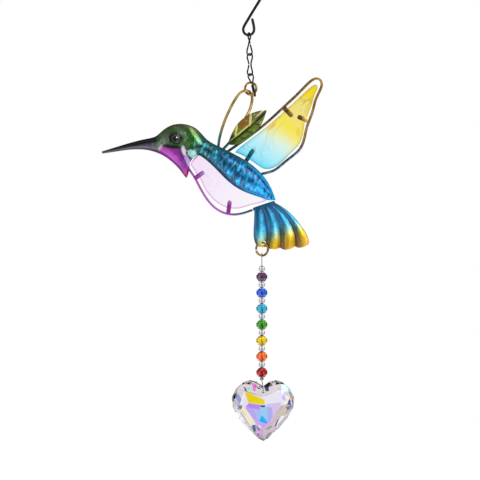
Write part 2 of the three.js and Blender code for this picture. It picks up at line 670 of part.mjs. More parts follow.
// The cut heart: two faceted faces, a narrow girdle band and the bore.
function heartGeometry() {
  const triangles = [];
  const front = heartFace(1, triangles);
  const back = heartFace(-1, triangles);
  front.forEach((point, k) => {
    const next = (k + 1) % front.length;
    triangles.push([point, back[next], front[next]], [point, back[k], back[next]]);
  });
  const geometry = new THREE.BufferGeometry().setFromPoints(triangles.flat());
  const bore = new THREE.CylinderGeometry(HEART_BORE / 2, HEART_BORE / 2, 40, 10);
  bore.translate(0, 0, HEART_BORE_Z);
  return geometryOf(solidOf(geometry).subtract(solidOf(bore)));
}

add("s_hook", wire(hookCurve(), HOOK_WIRE, 38), 0x161617, 0.45, 0.6);
addChain();
addRing("top_ring", TOP_RING);
addFrames();
add("leaf", leafGeometry(), 0x5f7410, 0.4, 0.7);
add("bird_body", bodyGeometry(), 0x0f6fb4, 0.35, 0.7);
addPanes();
add("tail", tailGeometry(), 0x1d86c4, 0.35, 0.7);
addRing("tail_ring", TAIL_RING);
addString();
const heart = add("heart", heartGeometry(), 0xe9e6f4, 0.03, 0, { transparent: true, opacity: 0.6 });
heart.position.set(...HEART_CENTRE);

export default parts;
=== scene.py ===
import math
import bmesh
import bpy
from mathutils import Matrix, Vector
from mathutils.geometry import delaunay_2d_cdt


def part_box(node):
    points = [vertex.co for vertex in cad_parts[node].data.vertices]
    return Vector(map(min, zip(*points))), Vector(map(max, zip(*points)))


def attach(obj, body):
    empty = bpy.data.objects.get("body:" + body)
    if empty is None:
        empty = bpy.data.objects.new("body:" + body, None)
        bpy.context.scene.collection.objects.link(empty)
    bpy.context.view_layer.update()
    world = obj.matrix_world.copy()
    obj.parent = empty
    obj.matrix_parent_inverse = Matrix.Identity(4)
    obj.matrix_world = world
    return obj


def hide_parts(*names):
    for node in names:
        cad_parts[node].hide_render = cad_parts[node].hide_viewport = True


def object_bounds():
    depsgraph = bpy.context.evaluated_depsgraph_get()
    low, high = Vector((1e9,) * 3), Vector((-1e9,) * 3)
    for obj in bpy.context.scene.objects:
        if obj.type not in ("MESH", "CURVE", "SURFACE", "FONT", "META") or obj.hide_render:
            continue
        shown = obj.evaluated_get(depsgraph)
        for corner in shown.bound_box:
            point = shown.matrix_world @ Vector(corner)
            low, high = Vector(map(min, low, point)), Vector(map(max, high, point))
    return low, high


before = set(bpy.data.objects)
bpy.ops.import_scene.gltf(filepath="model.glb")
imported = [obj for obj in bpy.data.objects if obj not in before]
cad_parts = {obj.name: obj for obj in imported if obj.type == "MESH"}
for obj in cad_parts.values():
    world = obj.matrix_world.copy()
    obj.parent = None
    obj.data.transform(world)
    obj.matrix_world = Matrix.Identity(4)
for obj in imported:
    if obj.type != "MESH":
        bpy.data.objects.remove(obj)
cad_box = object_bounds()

# A millimetre in metres. Sizes below are in millimetres, and the lamps' are in metres.
MM = 0.001


# The view: level with the bird's breast, straight on to its painted front, from about a metre away.
VIEW_PLACE = (-6.64, -952.4, -185.7)
LENS = 100
SENSOR_WIDTH = 36
camera = bpy.data.objects.new("camera", bpy.data.cameras.new("camera"))
camera.location = Vector(VIEW_PLACE) * MM
camera.rotation_euler = (math.pi / 2, 0, 0)
camera.data.lens = LENS
camera.data.sensor_width = SENSOR_WIDTH
bpy.context.scene.collection.objects.link(camera)
bpy.context.scene.camera = camera


# The studio: a pale round floor under the hanging piece, a white room, and soft lights.
def node(tree, kind, inputs=None, **settings):
    """Adds one node. An input that is a socket is linked, and any other input is set."""
    made = tree.nodes.new(kind)
    for key, value in settings.items():
        setattr(made, key, value)
    for key, value in (inputs or {}).items():
        if isinstance(value, bpy.types.NodeSocket):
            tree.links.new(value, made.inputs[key])
        else:
            made.inputs[key].default_value = value
    return made


def calc(tree, operation, *values):
    """A Math node's result."""
    return node(tree, "ShaderNodeMath", dict(enumerate(values)), operation=operation).outputs[0]


def spread(tree, value, start, end, low=0.0, high=1.0):
    """Low at the start and high at the end of a range, and held there beyond it."""
    return node(tree, "ShaderNodeMapRange", {0: value, 1: start, 2: end, 3: low, 4: high}).outputs[0]


def linear(colour):
    """A paint's colour as the shader takes it, from the usual six hex digits."""
    channels = [int(colour[k:k + 2], 16) / 255 for k in (0, 2, 4)]
    return (*[((c + 0.055) / 1.055) ** 2.4 if c > 0.04 else c / 12.92 for c in channels], 1.0)


def blended(tree, factor, below, above):
    """Colour above laid over colour below where the factor is one."""
    mix = node(tree, "ShaderNodeMix", {0: factor, 6: below, 7: above}, data_type="RGBA")
    return mix.outputs[2]


def light(name, place, aim, size, power, mirrored=True):
    """A square soft box that faces its aim. Glass never shows it, and metal only if it is mirrored."""
    lamp = bpy.data.objects.new(name, bpy.data.lights.new(name, "AREA"))
    lamp.data.energy = power
    lamp.data.size = size
    lamp.visible_transmission = False
    lamp.visible_glossy = mirrored
    lamp.location = place
    lamp.rotation_euler = (Vector(aim) - Vector(place)).to_track_quat("-Z", "Y").to_euler()
    bpy.context.scene.collection.objects.link(lamp)


FLOOR_DROP = 70 * MM
FLOOR_RADIUS = 550 * MM
FLOOR_GREY = 0.82
FLOOR_GLOW = 0.45
lowest, highest = cad_box
middle = (lowest + highest) / 2

floor_shape = bmesh.new()
bmesh.ops.create_circle(floor_shape, cap_ends=True, segments=96, radius=FLOOR_RADIUS)
bmesh.ops.translate(floor_shape, verts=floor_shape.verts, vec=(middle.x, 0, lowest.z - FLOOR_DROP))
floor_mesh = bpy.data.meshes.new("floor")
floor_shape.to_mesh(floor_mesh)
floor_shape.free()
floor = bpy.data.objects.new("floor", floor_mesh)
bpy.context.scene.collection.objects.link(floor)
floor_paint = bpy.data.materials.new("floor_white")
floor_paint.use_nodes = True
floor_shader = floor_paint.node_tree.nodes["Principled BSDF"]
floor_shader.inputs["Base Color"].default_value = (FLOOR_GREY, FLOOR_GREY, FLOOR_GREY, 1)
floor_shader.inputs["Roughness"].default_value = 0.8
floor_shader.inputs["Emission Color"].default_value = (1, 1, 1, 1)
floor_shader.inputs["Emission Strength"].default_value = FLOOR_GLOW
floor_mesh.materials.append(floor_paint)

# What the room sends to the camera, through glass, into metal and on to matt paint.
SEEN_WHITE = 1.0
THROUGH_GLASS_HIGH = 0.5
MIRRORED_BEHIND = 0.1
MIRRORED_FRONT = 0.28
MIRRORED_ABOVE = 0.45
ON_PAINT = 0.75
room = bpy.data.worlds.new("studio")
room.use_nodes = True
bpy.context.scene.world = room
room_tree = room.node_tree
room_tree.nodes.clear()
ray = node(room_tree, "ShaderNodeLightPath")
direction = node(room_tree, "ShaderNodeTexCoord").outputs["Generated"]
_, away, rise = node(room_tree, "ShaderNodeSeparateXYZ", {0: direction}).outputs
steepness = calc(room_tree, "ABSOLUTE", rise)
clear = spread(room_tree, steepness, 0.3, 0.8, SEEN_WHITE, THROUGH_GLASS_HIGH)
around = spread(room_tree, away, 0.3, -0.5, MIRRORED_BEHIND, MIRRORED_FRONT)
above = spread(room_tree, rise, 0.5, 0.9, 0.0, MIRRORED_ABOVE)
through = calc(room_tree, "MULTIPLY", ray.outputs["Is Transmission Ray"], clear)
gloss = calc(room_tree, "MULTIPLY", ray.outputs["Is Glossy Ray"], calc(room_tree, "MAXIMUM", around, above))
soft = calc(room_tree, "MULTIPLY", ray.outputs["Is Diffuse Ray"], ON_PAINT)
seen = calc(room_tree, "MULTIPLY", ray.outputs["Is Camera Ray"], SEEN_WHITE)
strength = calc(room_tree, "MAXIMUM", calc(room_tree, "MAXIMUM", through, gloss),
                calc(room_tree, "MAXIMUM", soft, seen))
room_shader = node(room_tree, "ShaderNodeBackground", {"Color": (1, 1, 1, 1), "Strength": strength})
node(room_tree, "ShaderNodeOutputWorld", {"Surface": room_shader.outputs[0]})
bpy.context.scene.view_settings.view_transform = "Standard"

light("key_light", (0.55, -0.75, 0.35), middle, 0.9, 6)
light("fill_light", (-0.75, -0.6, -0.1), middle, 0.8, 2.5)
light("top_light", (0.05, 0.1, 0.5), middle, 0.4, 3, mirrored=False)
light("back_light", (-0.3, 0.7, 0.1), middle, 0.5, 3, mirrored=False)


# S-hook: black steel wire of 1.8 mm, bent by hand round two pins and left with cut ends.
# Its crown goes over a nail or rod, and the closed eye holds the chain.
SAME_POINT = 0.002 * MM
JOINED_BEND = math.radians(35)


def quad_copy(name):
    """A CAD node's mesh with its doubles merged and its triangles joined to four-sided faces."""
    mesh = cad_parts[name].data.copy()
    mesh.materials.clear()
    work = bmesh.new()
    work.from_mesh(mesh)
    bmesh.ops.remove_doubles(work, verts=work.verts, dist=SAME_POINT)
    bmesh.ops.join_triangles(work, faces=work.faces, angle_face_threshold=JOINED_BEND,
                             angle_shape_threshold=math.pi)
    work.to_mesh(mesh)
    work.free()
    for face in mesh.polygons:
        face.use_smooth = True
    return mesh


def tree_sockets(tree, inputs):
    """Names a geometry tree's inputs and gives its input and output nodes."""
    tree.interface.new_socket("Geometry", in_out="INPUT", socket_type="NodeSocketGeometry")
    for label, kind in inputs:
        tree.interface.new_socket(label, in_out="INPUT", socket_type="NodeSocket" + kind)
    tree.interface.new_socket("Geometry", in_out="OUTPUT", socket_type="NodeSocketGeometry")
    return node(tree, "NodeGroupInput"), node(tree, "NodeGroupOutput")


def end_tree(tree, start, end, geometry):
    """Every tree ends in real geometry with its finish on it."""
    shaded = node(tree, "GeometryNodeSetShadeSmooth", {"Geometry": geometry})
    real = node(tree, "GeometryNodeRealizeInstances", {"Geometry": shaded.outputs[0]})
    finish = node(tree, "GeometryNodeSetMaterial",
                  {"Geometry": real.outputs[0], "Material": start.outputs["Finish"]})
    tree.links.new(finish.outputs[0], end.inputs[0])


def grown(name, mesh, tree, values):
    """A plain mesh object made by a geometry tree from a first mesh."""
    seed = bpy.data.objects.new(name + "_seed", mesh)
    bpy.context.scene.collection.objects.link(seed)
    modifier = seed.modifiers.new("tree", "NODES")
    modifier.node_group = tree
    for item in tree.interface.items_tree:
        if item.in_out == "INPUT" and item.name in values:
            modifier[item.identifier] = values[item.name]
    seen_seed = seed.evaluated_get(bpy.context.evaluated_depsgraph_get())
    made = bpy.data.meshes.new_from_object(seen_seed)
    seed.modifiers.clear()
    bpy.data.objects.remove(seed)
    made.name = name
    piece = bpy.data.objects.new(name, made)
    bpy.context.scene.collection.objects.link(piece)
    return piece


round_wire = bpy.data.node_groups.new("round_wire", "GeometryNodeTree")
wire_in, wire_out = tree_sockets(round_wire, [("Levels", "Int"), ("Swell", "Float"), ("Finish", "Material")])
fine = node(round_wire, "GeometryNodeSubdivisionSurface",
            {"Mesh": wire_in.outputs["Geometry"], "Level": wire_in.outputs["Levels"]})
facing_out = node(round_wire, "GeometryNodeInputNormal").outputs[0]
outward = node(round_wire, "ShaderNodeVectorMath", {0: facing_out, "Scale": wire_in.outputs["Swell"]},
               operation="SCALE")
swollen = node(round_wire, "GeometryNodeSetPosition",
               {"Geometry": fine.outputs[0], "Offset": outward.outputs[0]})
end_tree(round_wire, wire_in, wire_out, swollen.outputs[0])

PLATING = 0.07


def round_piece(cad_name, name, diameter, sides, finish, plating=PLATING):
    """Makes a CAD wire round.

    The swell makes up for what dividing takes off a wire of so many sides, and adds the plating."""
    lost = (1 - math.cos(2 * math.pi / sides)) / 3
    values = {"Levels": 2, "Swell": (lost * diameter / 2 + plating) * MM, "Finish": finish}
    piece = grown(name, quad_copy(cad_name), round_wire, values)
    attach(piece, "root")
    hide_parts(cad_name)
    return piece


def vector(tree, operation, *values):
    """A Vector Math node's result, which is a number for a length or a dot product."""
    made = node(tree, "ShaderNodeVectorMath", dict(enumerate(values)), operation=operation)
    return made.outputs["Value" if operation in ("LENGTH", "DOT_PRODUCT") else "Vector"]


def coordinates(tree):
    """Object coordinates in millimetres."""
    place = node(tree, "ShaderNodeTexCoord").outputs["Object"]
    return node(tree, "ShaderNodeVectorMath", {0: place, "Scale": 1 / MM}, operation="SCALE").outputs[0]


def ramp(tree, factor, *stops):
    """A colour ramp's result. Each stop is a place and a paint."""
    made = node(tree, "ShaderNodeValToRGB", {0: factor})
    while len(made.color_ramp.elements) < len(stops):
        made.color_ramp.elements.new(0.5)
    for element, (place, paint) in zip(made.color_ramp.elements, stops):
        element.position = place
        element.color = linear(paint)
    return made.outputs[0]


def speckle(tree, place, size, detail=2.0):
    """Noise whose spots measure about the given size in millimetres."""
    made = node(tree, "ShaderNodeTexNoise", {"Vector": place, "Scale": 1 / size, "Detail": detail})
    return made.outputs["Fac"]


def new_finish(name, **plain):
    """A material with plain numbers on its shader. Gives the material, its tree and its shader."""
    made = bpy.data.materials.new(name)
    made.use_nodes = True
    shader = made.node_tree.nodes["Principled BSDF"]
    for label, value in plain.items():
        shader.inputs[label.replace("_", " ")].default_value = value
    return made, made.node_tree, shader


def shader_group(name, vectors, numbers, results):
    """A group with named vector and number inputs and number outputs. Gives it and its input sockets."""
    group = bpy.data.node_groups.new(name, "ShaderNodeTree")
    for way, kind, labels in (("INPUT", "Vector", vectors), ("INPUT", "Float", numbers),
                              ("OUTPUT", "Float", results)):
        for label in labels:
            group.interface.new_socket(label, in_out=way, socket_type="NodeSocket" + kind)
    return group, node(group, "NodeGroupInput").outputs


# Wear that every metal piece shares: fine scratches and handling marks, as a mask and a height.
handled, given = shader_group("handled_metal", ["Place"], ["Grain"], ["Mask", "Height"])
coarse = node(handled, "ShaderNodeTexNoise", {"Vector": given["Place"], "Scale": 0.35, "Detail": 3.0})
grain = node(handled, "ShaderNodeTexNoise",
             {"Vector": given["Place"], "Scale": given["Grain"], "Detail": 2.0})
marks = spread(handled, coarse.outputs["Fac"], 0.4, 0.65)
node(handled, "NodeGroupOutput", {"Mask": marks, "Height": grain.outputs["Fac"]})

WEAR_SHADE = 0.18
GRAINS_PER_MM = 3.0
GRAIN_DEPTH = 0.3


def metal(name, colour_from, roughness, metallic, bump=0.04, coat=0.0):
    """A metal finish: colour from a function of the place, worn roughness and a fine grain."""
    made, tree, shader = new_finish(name, Metallic=metallic, Coat_Weight=coat, Coat_Roughness=0.12)
    place = coordinates(tree)
    wear = node(tree, "ShaderNodeGroup", {"Place": place, "Grain": GRAINS_PER_MM}, node_tree=handled).outputs
    shade = calc(tree, "MULTIPLY", wear["Mask"], WEAR_SHADE)
    colour = blended(tree, shade, colour_from(tree, place), (0, 0, 0, 1))
    rough = spread(tree, wear["Mask"], 0.0, 1.0, roughness * 0.8, roughness * 1.3)
    relief = node(tree, "ShaderNodeBump",
                  {"Height": wear["Height"], "Strength": bump, "Distance": GRAIN_DEPTH * MM})
    tree.links.new(colour, shader.inputs["Base Color"])
    tree.links.new(rough, shader.inputs["Roughness"])
    tree.links.new(relief.outputs[0], shader.inputs["Normal"])
    return made


def mottled(dark, bright, size):
    """A colour function of two tones in spots of a size."""
    return lambda tree, place: ramp(tree, speckle(tree, place, size), (0.35, dark), (0.65, bright))


HOOK_WIRE = 1.8
hook_black = metal("hook_black", mottled("0C0C0E", "26262A", 3), 0.35, 0.55)
round_piece("s_hook", "bent_hook", HOOK_WIRE, 8, hook_black)


# Chain: three links of thin blackened steel wire, each bent round with its cut at the waist
# and hung in the next one.
LINK_WIRE = 0.95
link_dark = metal("link_dark", mottled("151419", "36343C", 1.5), 0.32, 0.8)
for number in (1, 2, 3):
    link = round_piece(f"chain_link_{number}", f"bent_link_{number}", LINK_WIRE, 6, link_dark)


# Jump rings: bronze-plated wire rings, cut once and pressed shut, above the bird and in its tail.
RING_WIRE = 1.45
ring_bronze = metal("ring_bronze", mottled("5E3C1C", "C0944C", 4), 0.28, 0.85)
for cad_name, name in (("top_ring", "upper_jump_ring"), ("tail_ring", "tail_jump_ring")):
    round_piece(cad_name, name, RING_WIRE, 8, ring_bronze)


# Hanger: a tall loop of steel wire, antique gold above and washed with the bird's teal
# lacquer at its two legs, which are soldered behind the back.
FRAME_WIRE = 1.8


def band(tree, place, axis, start, end):
    """A share from nought to one along an axis, between two places in millimetres."""
    along = node(tree, "ShaderNodeSeparateXYZ", {0: place}).outputs[axis]
    return spread(tree, along, start, end)


def hanger_colour(tree, place):
    gold = ramp(tree, speckle(tree, place, 5), (0.35, "A07828"), (0.65, "E0BC70"))
    teal = ramp(tree, speckle(tree, place, 3), (0.35, "0E4A44"), (0.65, "3F8478"))
    return blended(tree, band(tree, place, "Z", -101, -112), gold, teal)


hanger_gold = metal("hanger_gold", hanger_colour, 0.3, 0.8)
round_piece("hanger_loop", "bent_hanger", FRAME_WIRE, 8, hanger_gold)


# Wing wire: the same steel wire round the wing pane, dark bronze with gold at the wing's
# tip, blue-grey below and the bird's dark teal where it goes behind the back.
def wing_wire_colour(tree, place):
    bronze = ramp(tree, speckle(tree, place, 4), (0.35, "4C4030"), (0.65, "A88C60"))
    gold = ramp(tree, speckle(tree, place, 6), (0.35, "7A5414"), (0.65, "C99A46"))
    blue = ramp(tree, speckle(tree, place, 4), (0.35, "1C3A50"), (0.65, "6E8496"))
    teal = ramp(tree, speckle(tree, place, 3), (0.35, "06303C"), (0.65, "0F5A66"))
    colour = blended(tree, band(tree, place, "X", 34, 44), bronze, gold)
    colour = blended(tree, band(tree, place, "Z", -112, -124), colour, blue)
    return blended(tree, band(tree, place, "X", 12, -2), colour, teal)


wing_bronze = metal("wing_bronze", wing_wire_colour, 0.3, 0.8)
round_piece("wing_frame", "bent_wing_wire", FRAME_WIRE, 8, wing_bronze)


# Belly wire: thinner wire under the belly pane, magenta lacquer at the throat that turns
# violet and then blue towards the tail.
BELLY_WIRE = 1.5


def belly_wire_colour(tree, place):
    share = band(tree, place, "X", -45, 3)
    return ramp(tree, share, (0.0, "A03AA0"), (0.5, "A85CB8"), (0.68, "8A4AA0"), (0.8, "5A5A90"),
                (0.95, "0E4A66"))


belly_lacquer = metal("belly_lacquer", belly_wire_colour, 0.3, 0.6, coat=0.3)
round_piece("belly_frame", "bent_belly_wire", BELLY_WIRE, 8, belly_lacquer)


# Leaf: stamped brass sheet, painted olive green and gold, with painted shade along its pressed midrib
# and painted highlights on its side veins. It is soldered in front of the hanger's right leg.
patch, given = shader_group("soft_patch", ["Place", "Centre", "Radii"], ["Turn", "Softness", "Wobble"],
                            ["Mask"])
from_centre = vector(patch, "SUBTRACT", given["Place"], given["Centre"])
turned = node(patch, "ShaderNodeVectorRotate",
              {"Vector": from_centre, "Axis": (0, 1, 0), "Angle": given["Turn"]})
scaled = vector(patch, "DIVIDE", turned.outputs[0], given["Radii"])
reach = vector(patch, "LENGTH", vector(patch, "MULTIPLY", scaled, (1, 0, 1)))
ripple = node(patch, "ShaderNodeTexNoise", {"Vector": given["Place"], "Scale": 0.7, "Detail": 2.0})
uneven = calc(patch, "SUBTRACT", ripple.outputs["Fac"], 0.5)
shaken = calc(patch, "MULTIPLY_ADD", uneven, given["Wobble"], reach)
fade = node(patch, "ShaderNodeMapRange", {0: shaken, 1: calc(patch, "ADD", 1.0, given["Softness"]),
                                          2: calc(patch, "SUBTRACT", 1.0, given["Softness"])},
            interpolation_type="SMOOTHSTEP")
node(patch, "NodeGroupOutput", {"Mask": fade.outputs[0]})


def painted(tree, place, colour, patches, wobble=0.6):
    """Lays soft-edged patches of paint over a colour.

    Each patch gives its centre X and Z, half length and half width in millimetres, turn in
    degrees from level, softness, strength and colour."""
    for x, z, length, width, turn, softness, strength, paint in patches:
        spot = node(tree, "ShaderNodeGroup",
                    {"Place": place, "Centre": (x, 0, z), "Radii": (length, 1, width),
                     "Turn": math.radians(turn), "Softness": softness, "Wobble": wobble}, node_tree=patch)
        colour = blended(tree, calc(tree, "MULTIPLY", spot.outputs["Mask"], strength), colour, linear(paint))
    return colour


# Olive and gold paint, painted highlights on the veins, painted shade along the midrib, and dark vein lines.
LEAF_PAINT_SHADE_AND_HIGHLIGHTS = [
    (-13.0, -115.0, 5.0, 4.0, 40, 0.4, 0.9, "16340A"),
    (-3.2, -102.0, 5.0, 2.8, 50, 0.4, 0.9, "8E5A0C"),
    (4.5, -96.5, 8.0, 3.0, 30, 0.4, 0.8, "5E5A30"),
    (-1.5, -109.5, 9.0, 3.2, 38, 0.4, 0.8, "5C8206"),
    (6.5, -101.0, 6.0, 2.6, 55, 0.4, 0.8, "6C7A24"),
    # Painted highlights on the two side veins and along the midrib's edges.
    (-9.3, -107.5, 4.3, 0.8, 80, 0.4, 0.9, "E4DC80"),
    (0.8, -100.0, 5.0, 0.9, 85, 0.4, 0.9, "ECDC90"),
    (8.0, -95.0, 5.0, 0.5, 42, 0.5, 0.9, "E4DCA8"),
    (-4.5, -107.3, 9.0, 0.45, 40, 0.5, 0.9, "E8DC84"),
    # Painted shade along the pressed midrib.
    (-3.5, -108.5, 10.0, 0.8, 40, 0.4, 0.95, "0C1E04"),
    # Dark vein lines.
    (0.0, -108.8, 3.6, 0.7, -12, 0.5, 0.8, "24340A"),
    (6.6, -103.4, 3.2, 0.7, -8, 0.5, 0.8, "1C2C08"),
    (-5.0, -113.0, 3.0, 0.7, -20, 0.5, 0.8, "1C3406"),
    (-1.0, -112.0, 7.0, 0.8, 30, 0.5, 0.7, "2A4A06"),
    # Painted shade along the midrib towards the tip.
    (8.4, -97.7, 6.5, 0.9, 42, 0.4, 0.95, "141A06"),
]


def leaf_colour(tree, place):
    base = ramp(tree, speckle(tree, place, 2.5, 3.0), (0.3, "2E4C08"), (0.7, "84901C"))
    return painted(tree, place, base, LEAF_PAINT_SHADE_AND_HIGHLIGHTS, 0.35)


leaf_paint = metal("leaf_paint", leaf_colour, 0.28, 0.45, coat=0.5)
fine_sheet = bpy.data.node_groups.new("fine_sheet", "GeometryNodeTree")
sheet_in, sheet_out = tree_sockets(fine_sheet, [
    ("Levels", "Int"), ("Dent", "Float"), ("Dent Length", "Float"), ("Dent Width", "Float"),
    ("Dent Turn", "Float"), ("Rim Y", "Float"), ("Finish", "Material")])
chosen = sheet_in.outputs
# A fold between these two angles, in radians, keeps more and more of its edge, up to a half.
SOFT_FOLD = 0.8
SHARP_FOLD = 1.3
SHARP_CREASE = 0.5
fold = node(fine_sheet, "GeometryNodeInputMeshEdgeAngle").outputs["Unsigned Angle"]
crease = spread(fine_sheet, fold, SOFT_FOLD, SHARP_FOLD, 0.0, SHARP_CREASE)
smooth_sheet = node(fine_sheet, "GeometryNodeSubdivisionSurface",
                    {"Mesh": chosen["Geometry"], "Level": chosen["Levels"], "Edge Crease": crease})
point = node(fine_sheet, "GeometryNodeInputPosition").outputs[0]
turned_point = node(fine_sheet, "ShaderNodeVectorRotate",
                    {"Vector": point, "Axis": (0, 1, 0), "Angle": chosen["Dent Turn"]})
dent_size = node(fine_sheet, "ShaderNodeCombineXYZ",
                 {0: chosen["Dent Length"], 1: 1.0, 2: chosen["Dent Width"]})
dent_place = vector(fine_sheet, "DIVIDE", turned_point.outputs[0], dent_size.outputs[0])
dents = node(fine_sheet, "ShaderNodeTexNoise", {"Vector": dent_place, "Scale": 1.0, "Detail": 1.0})
height = node(fine_sheet, "ShaderNodeSeparateXYZ", {0: point}).outputs["Y"]
RIM_FADE = 2
DENT_LEVEL = 0.3
past_rim = calc(fine_sheet, "SUBTRACT", chosen["Rim Y"], RIM_FADE * MM)
off_rim = spread(fine_sheet, height, chosen["Rim Y"], past_rim)
depth = calc(fine_sheet, "MULTIPLY", calc(fine_sheet, "MULTIPLY", chosen["Dent"], off_rim),
             calc(fine_sheet, "SUBTRACT", dents.outputs["Fac"], DENT_LEVEL))
dented = node(fine_sheet, "GeometryNodeSetPosition",
              {"Geometry": smooth_sheet.outputs[0],
               "Offset": node(fine_sheet, "ShaderNodeCombineXYZ", {1: depth}).outputs[0]})
end_tree(fine_sheet, sheet_in, sheet_out, dented.outputs[0])


DENT_LENGTH = 6
DENT_WIDTH = 2.2
RIM_Y = -1.8


def stamped_piece(cad_name, name, levels, finish, dent=0.0, turn=0.0):
    """A CAD sheet made fine and smooth, with shallow dents off its rim."""
    values = {"Levels": levels, "Dent": dent * MM, "Dent Length": DENT_LENGTH * MM,
              "Dent Width": DENT_WIDTH * MM, "Dent Turn": math.radians(turn), "Rim Y": RIM_Y * MM,
              "Finish": finish}
    piece = grown(name, quad_copy(cad_name), fine_sheet, values)
    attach(piece, "root")
    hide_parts(cad_name)
    return piece


stamped_piece("leaf", "stamped_leaf", 2, leaf_paint)


# Bird: one stamping of thin steel from beak to tail end, domed along its middle with a flat
# rim, hammered all over the back, and hand-painted with transparent metallic lacquers.
HEAD_PAINT_AND_HIGHLIGHTS = [
    (-60.0, -111.5, 5.0, 6.0, 30, 0.5, 0.8, "5A6258"),
    (-50.0, -103.6, 15.0, 1.8, 4, 0.5, 0.9, "4A4226"),
    (-50.0, -107.5, 13.0, 2.6, 8, 0.5, 0.9, "24480A"),
    (-47.0, -110.0, 7.0, 2.2, -35, 0.5, 0.8, "4C6C4A"),
    (-42.4, -105.4, 7.0, 1.5, -30, 0.5, 0.7, "5E6046"),
    (-40.6, -112.0, 5.0, 2.8, -60, 0.4, 0.95, "185400"),
    # Painted highlights: a light green streak on the crown's right side and a mint spot below it.
    (-38.8, -110.2, 5.6, 1.4, -52, 0.35, 0.9, "A8D070"),
    (-36.0, -114.6, 3.2, 1.5, -55, 0.5, 1.0, "80CCA0"),
    # Paint: green under the eye, then the throat's magenta with its darker marks and the black mouth line.
    (-47.5, -117.0, 6.0, 3.0, -40, 0.5, 0.9, "4A6440"),
    (-52.5, -130.0, 15.0, 7.6, -45, 0.12, 1.0, "841C8C"),
    (-56.5, -123.8, 8.0, 5.0, -12, 0.15, 1.0, "902894"),
    (-53.5, -127.5, 6.0, 2.0, -45, 0.5, 0.6, "A030A8"),
    (-49.0, -124.6, 2.6, 1.2, -70, 0.5, 0.8, "60206C"),
    (-46.6, -130.5, 4.6, 1.5, -66, 0.4, 0.9, "6A2080"),
    (-53.4, -124.4, 1.2, 0.8, 0, 0.5, 0.8, "702080"),
    (-45.2, -139.0, 4.0, 2.4, -60, 0.4, 0.9, "A01870"),
    (-56.0, -119.4, 7.0, 1.3, -6, 0.3, 1.0, "1C161A"),
    # A painted highlight: a pale streak at the corner of the mouth.
    (-63.2, -119.8, 1.0, 2.2, -30, 0.5, 0.8, "A89AA8"),
    # Paint: the cheek's pale lilac and teal, and a dark dot.
    (-46.4, -122.6, 1.5, 3.6, 18, 0.35, 1.0, "ECDCF4"),
    (-43.4, -130.0, 1.5, 4.8, 26, 0.35, 1.0, "CCA8F0"),
    (-40.6, -124.6, 3.8, 2.4, -30, 0.3, 1.0, "A8DED8"),
    (-44.4, -123.8, 0.7, 1.0, 0, 0.4, 0.9, "303850"),
    # The eye: a black surround, a grey ring and a black ball.
    (-52.4, -113.6, 5.0, 4.0, -10, 0.2, 1.0, "0C100E"),
    (-52.0, -113.8, 2.9, 2.9, 0, 0.12, 1.0, "4A544E"),
    (-52.0, -113.8, 2.2, 2.2, 0, 0.1, 1.0, "040406"),
    # A painted highlight: the glint on the eye.
    (-51.3, -113.0, 0.6, 0.6, 0, 0.3, 1.0, "E8E8F0"),
    # The lower rim's dark teal-blue line.
    (-23.2, -137.2, 12.0, 1.5, -44.8, 0.4, 0.9, "0A4A70"),
    (-8.0, -149.2, 10.0, 1.4, -31, 0.4, 0.9, "0A4A70"),
    (7.0, -156.6, 8.0, 1.3, -19, 0.4, 0.9, "0A5080"),
]


# The line between the two halves of the beak, as its slope and its height where X is nought.
BEAK_SLOPE = 0.17
BEAK_LINE_Z = -104.3


def beak_colour(tree, place):
    """Black above the line between the beak's halves and grey below it."""
    x, _, z = node(tree, "ShaderNodeSeparateXYZ", {0: place}).outputs
    above_line = calc(tree, "SUBTRACT", z, calc(tree, "MULTIPLY_ADD", x, BEAK_SLOPE, BEAK_LINE_Z))
    return ramp(tree, spread(tree, above_line, 0.4, -1.2), (0.0, "08070A"), (0.4, "2A2830"), (1.0, "4C4654"))


# The way from the beak's tip along the back to the tail, and the dabs' turn, squash and size.
BACK_LINE = (0.86, 0, -0.51)
DAB_TURN = 1.22
DAB_SQUASH = (0.28, 0.5, 0.85)
DAB_SIZE = 1 / 0.68


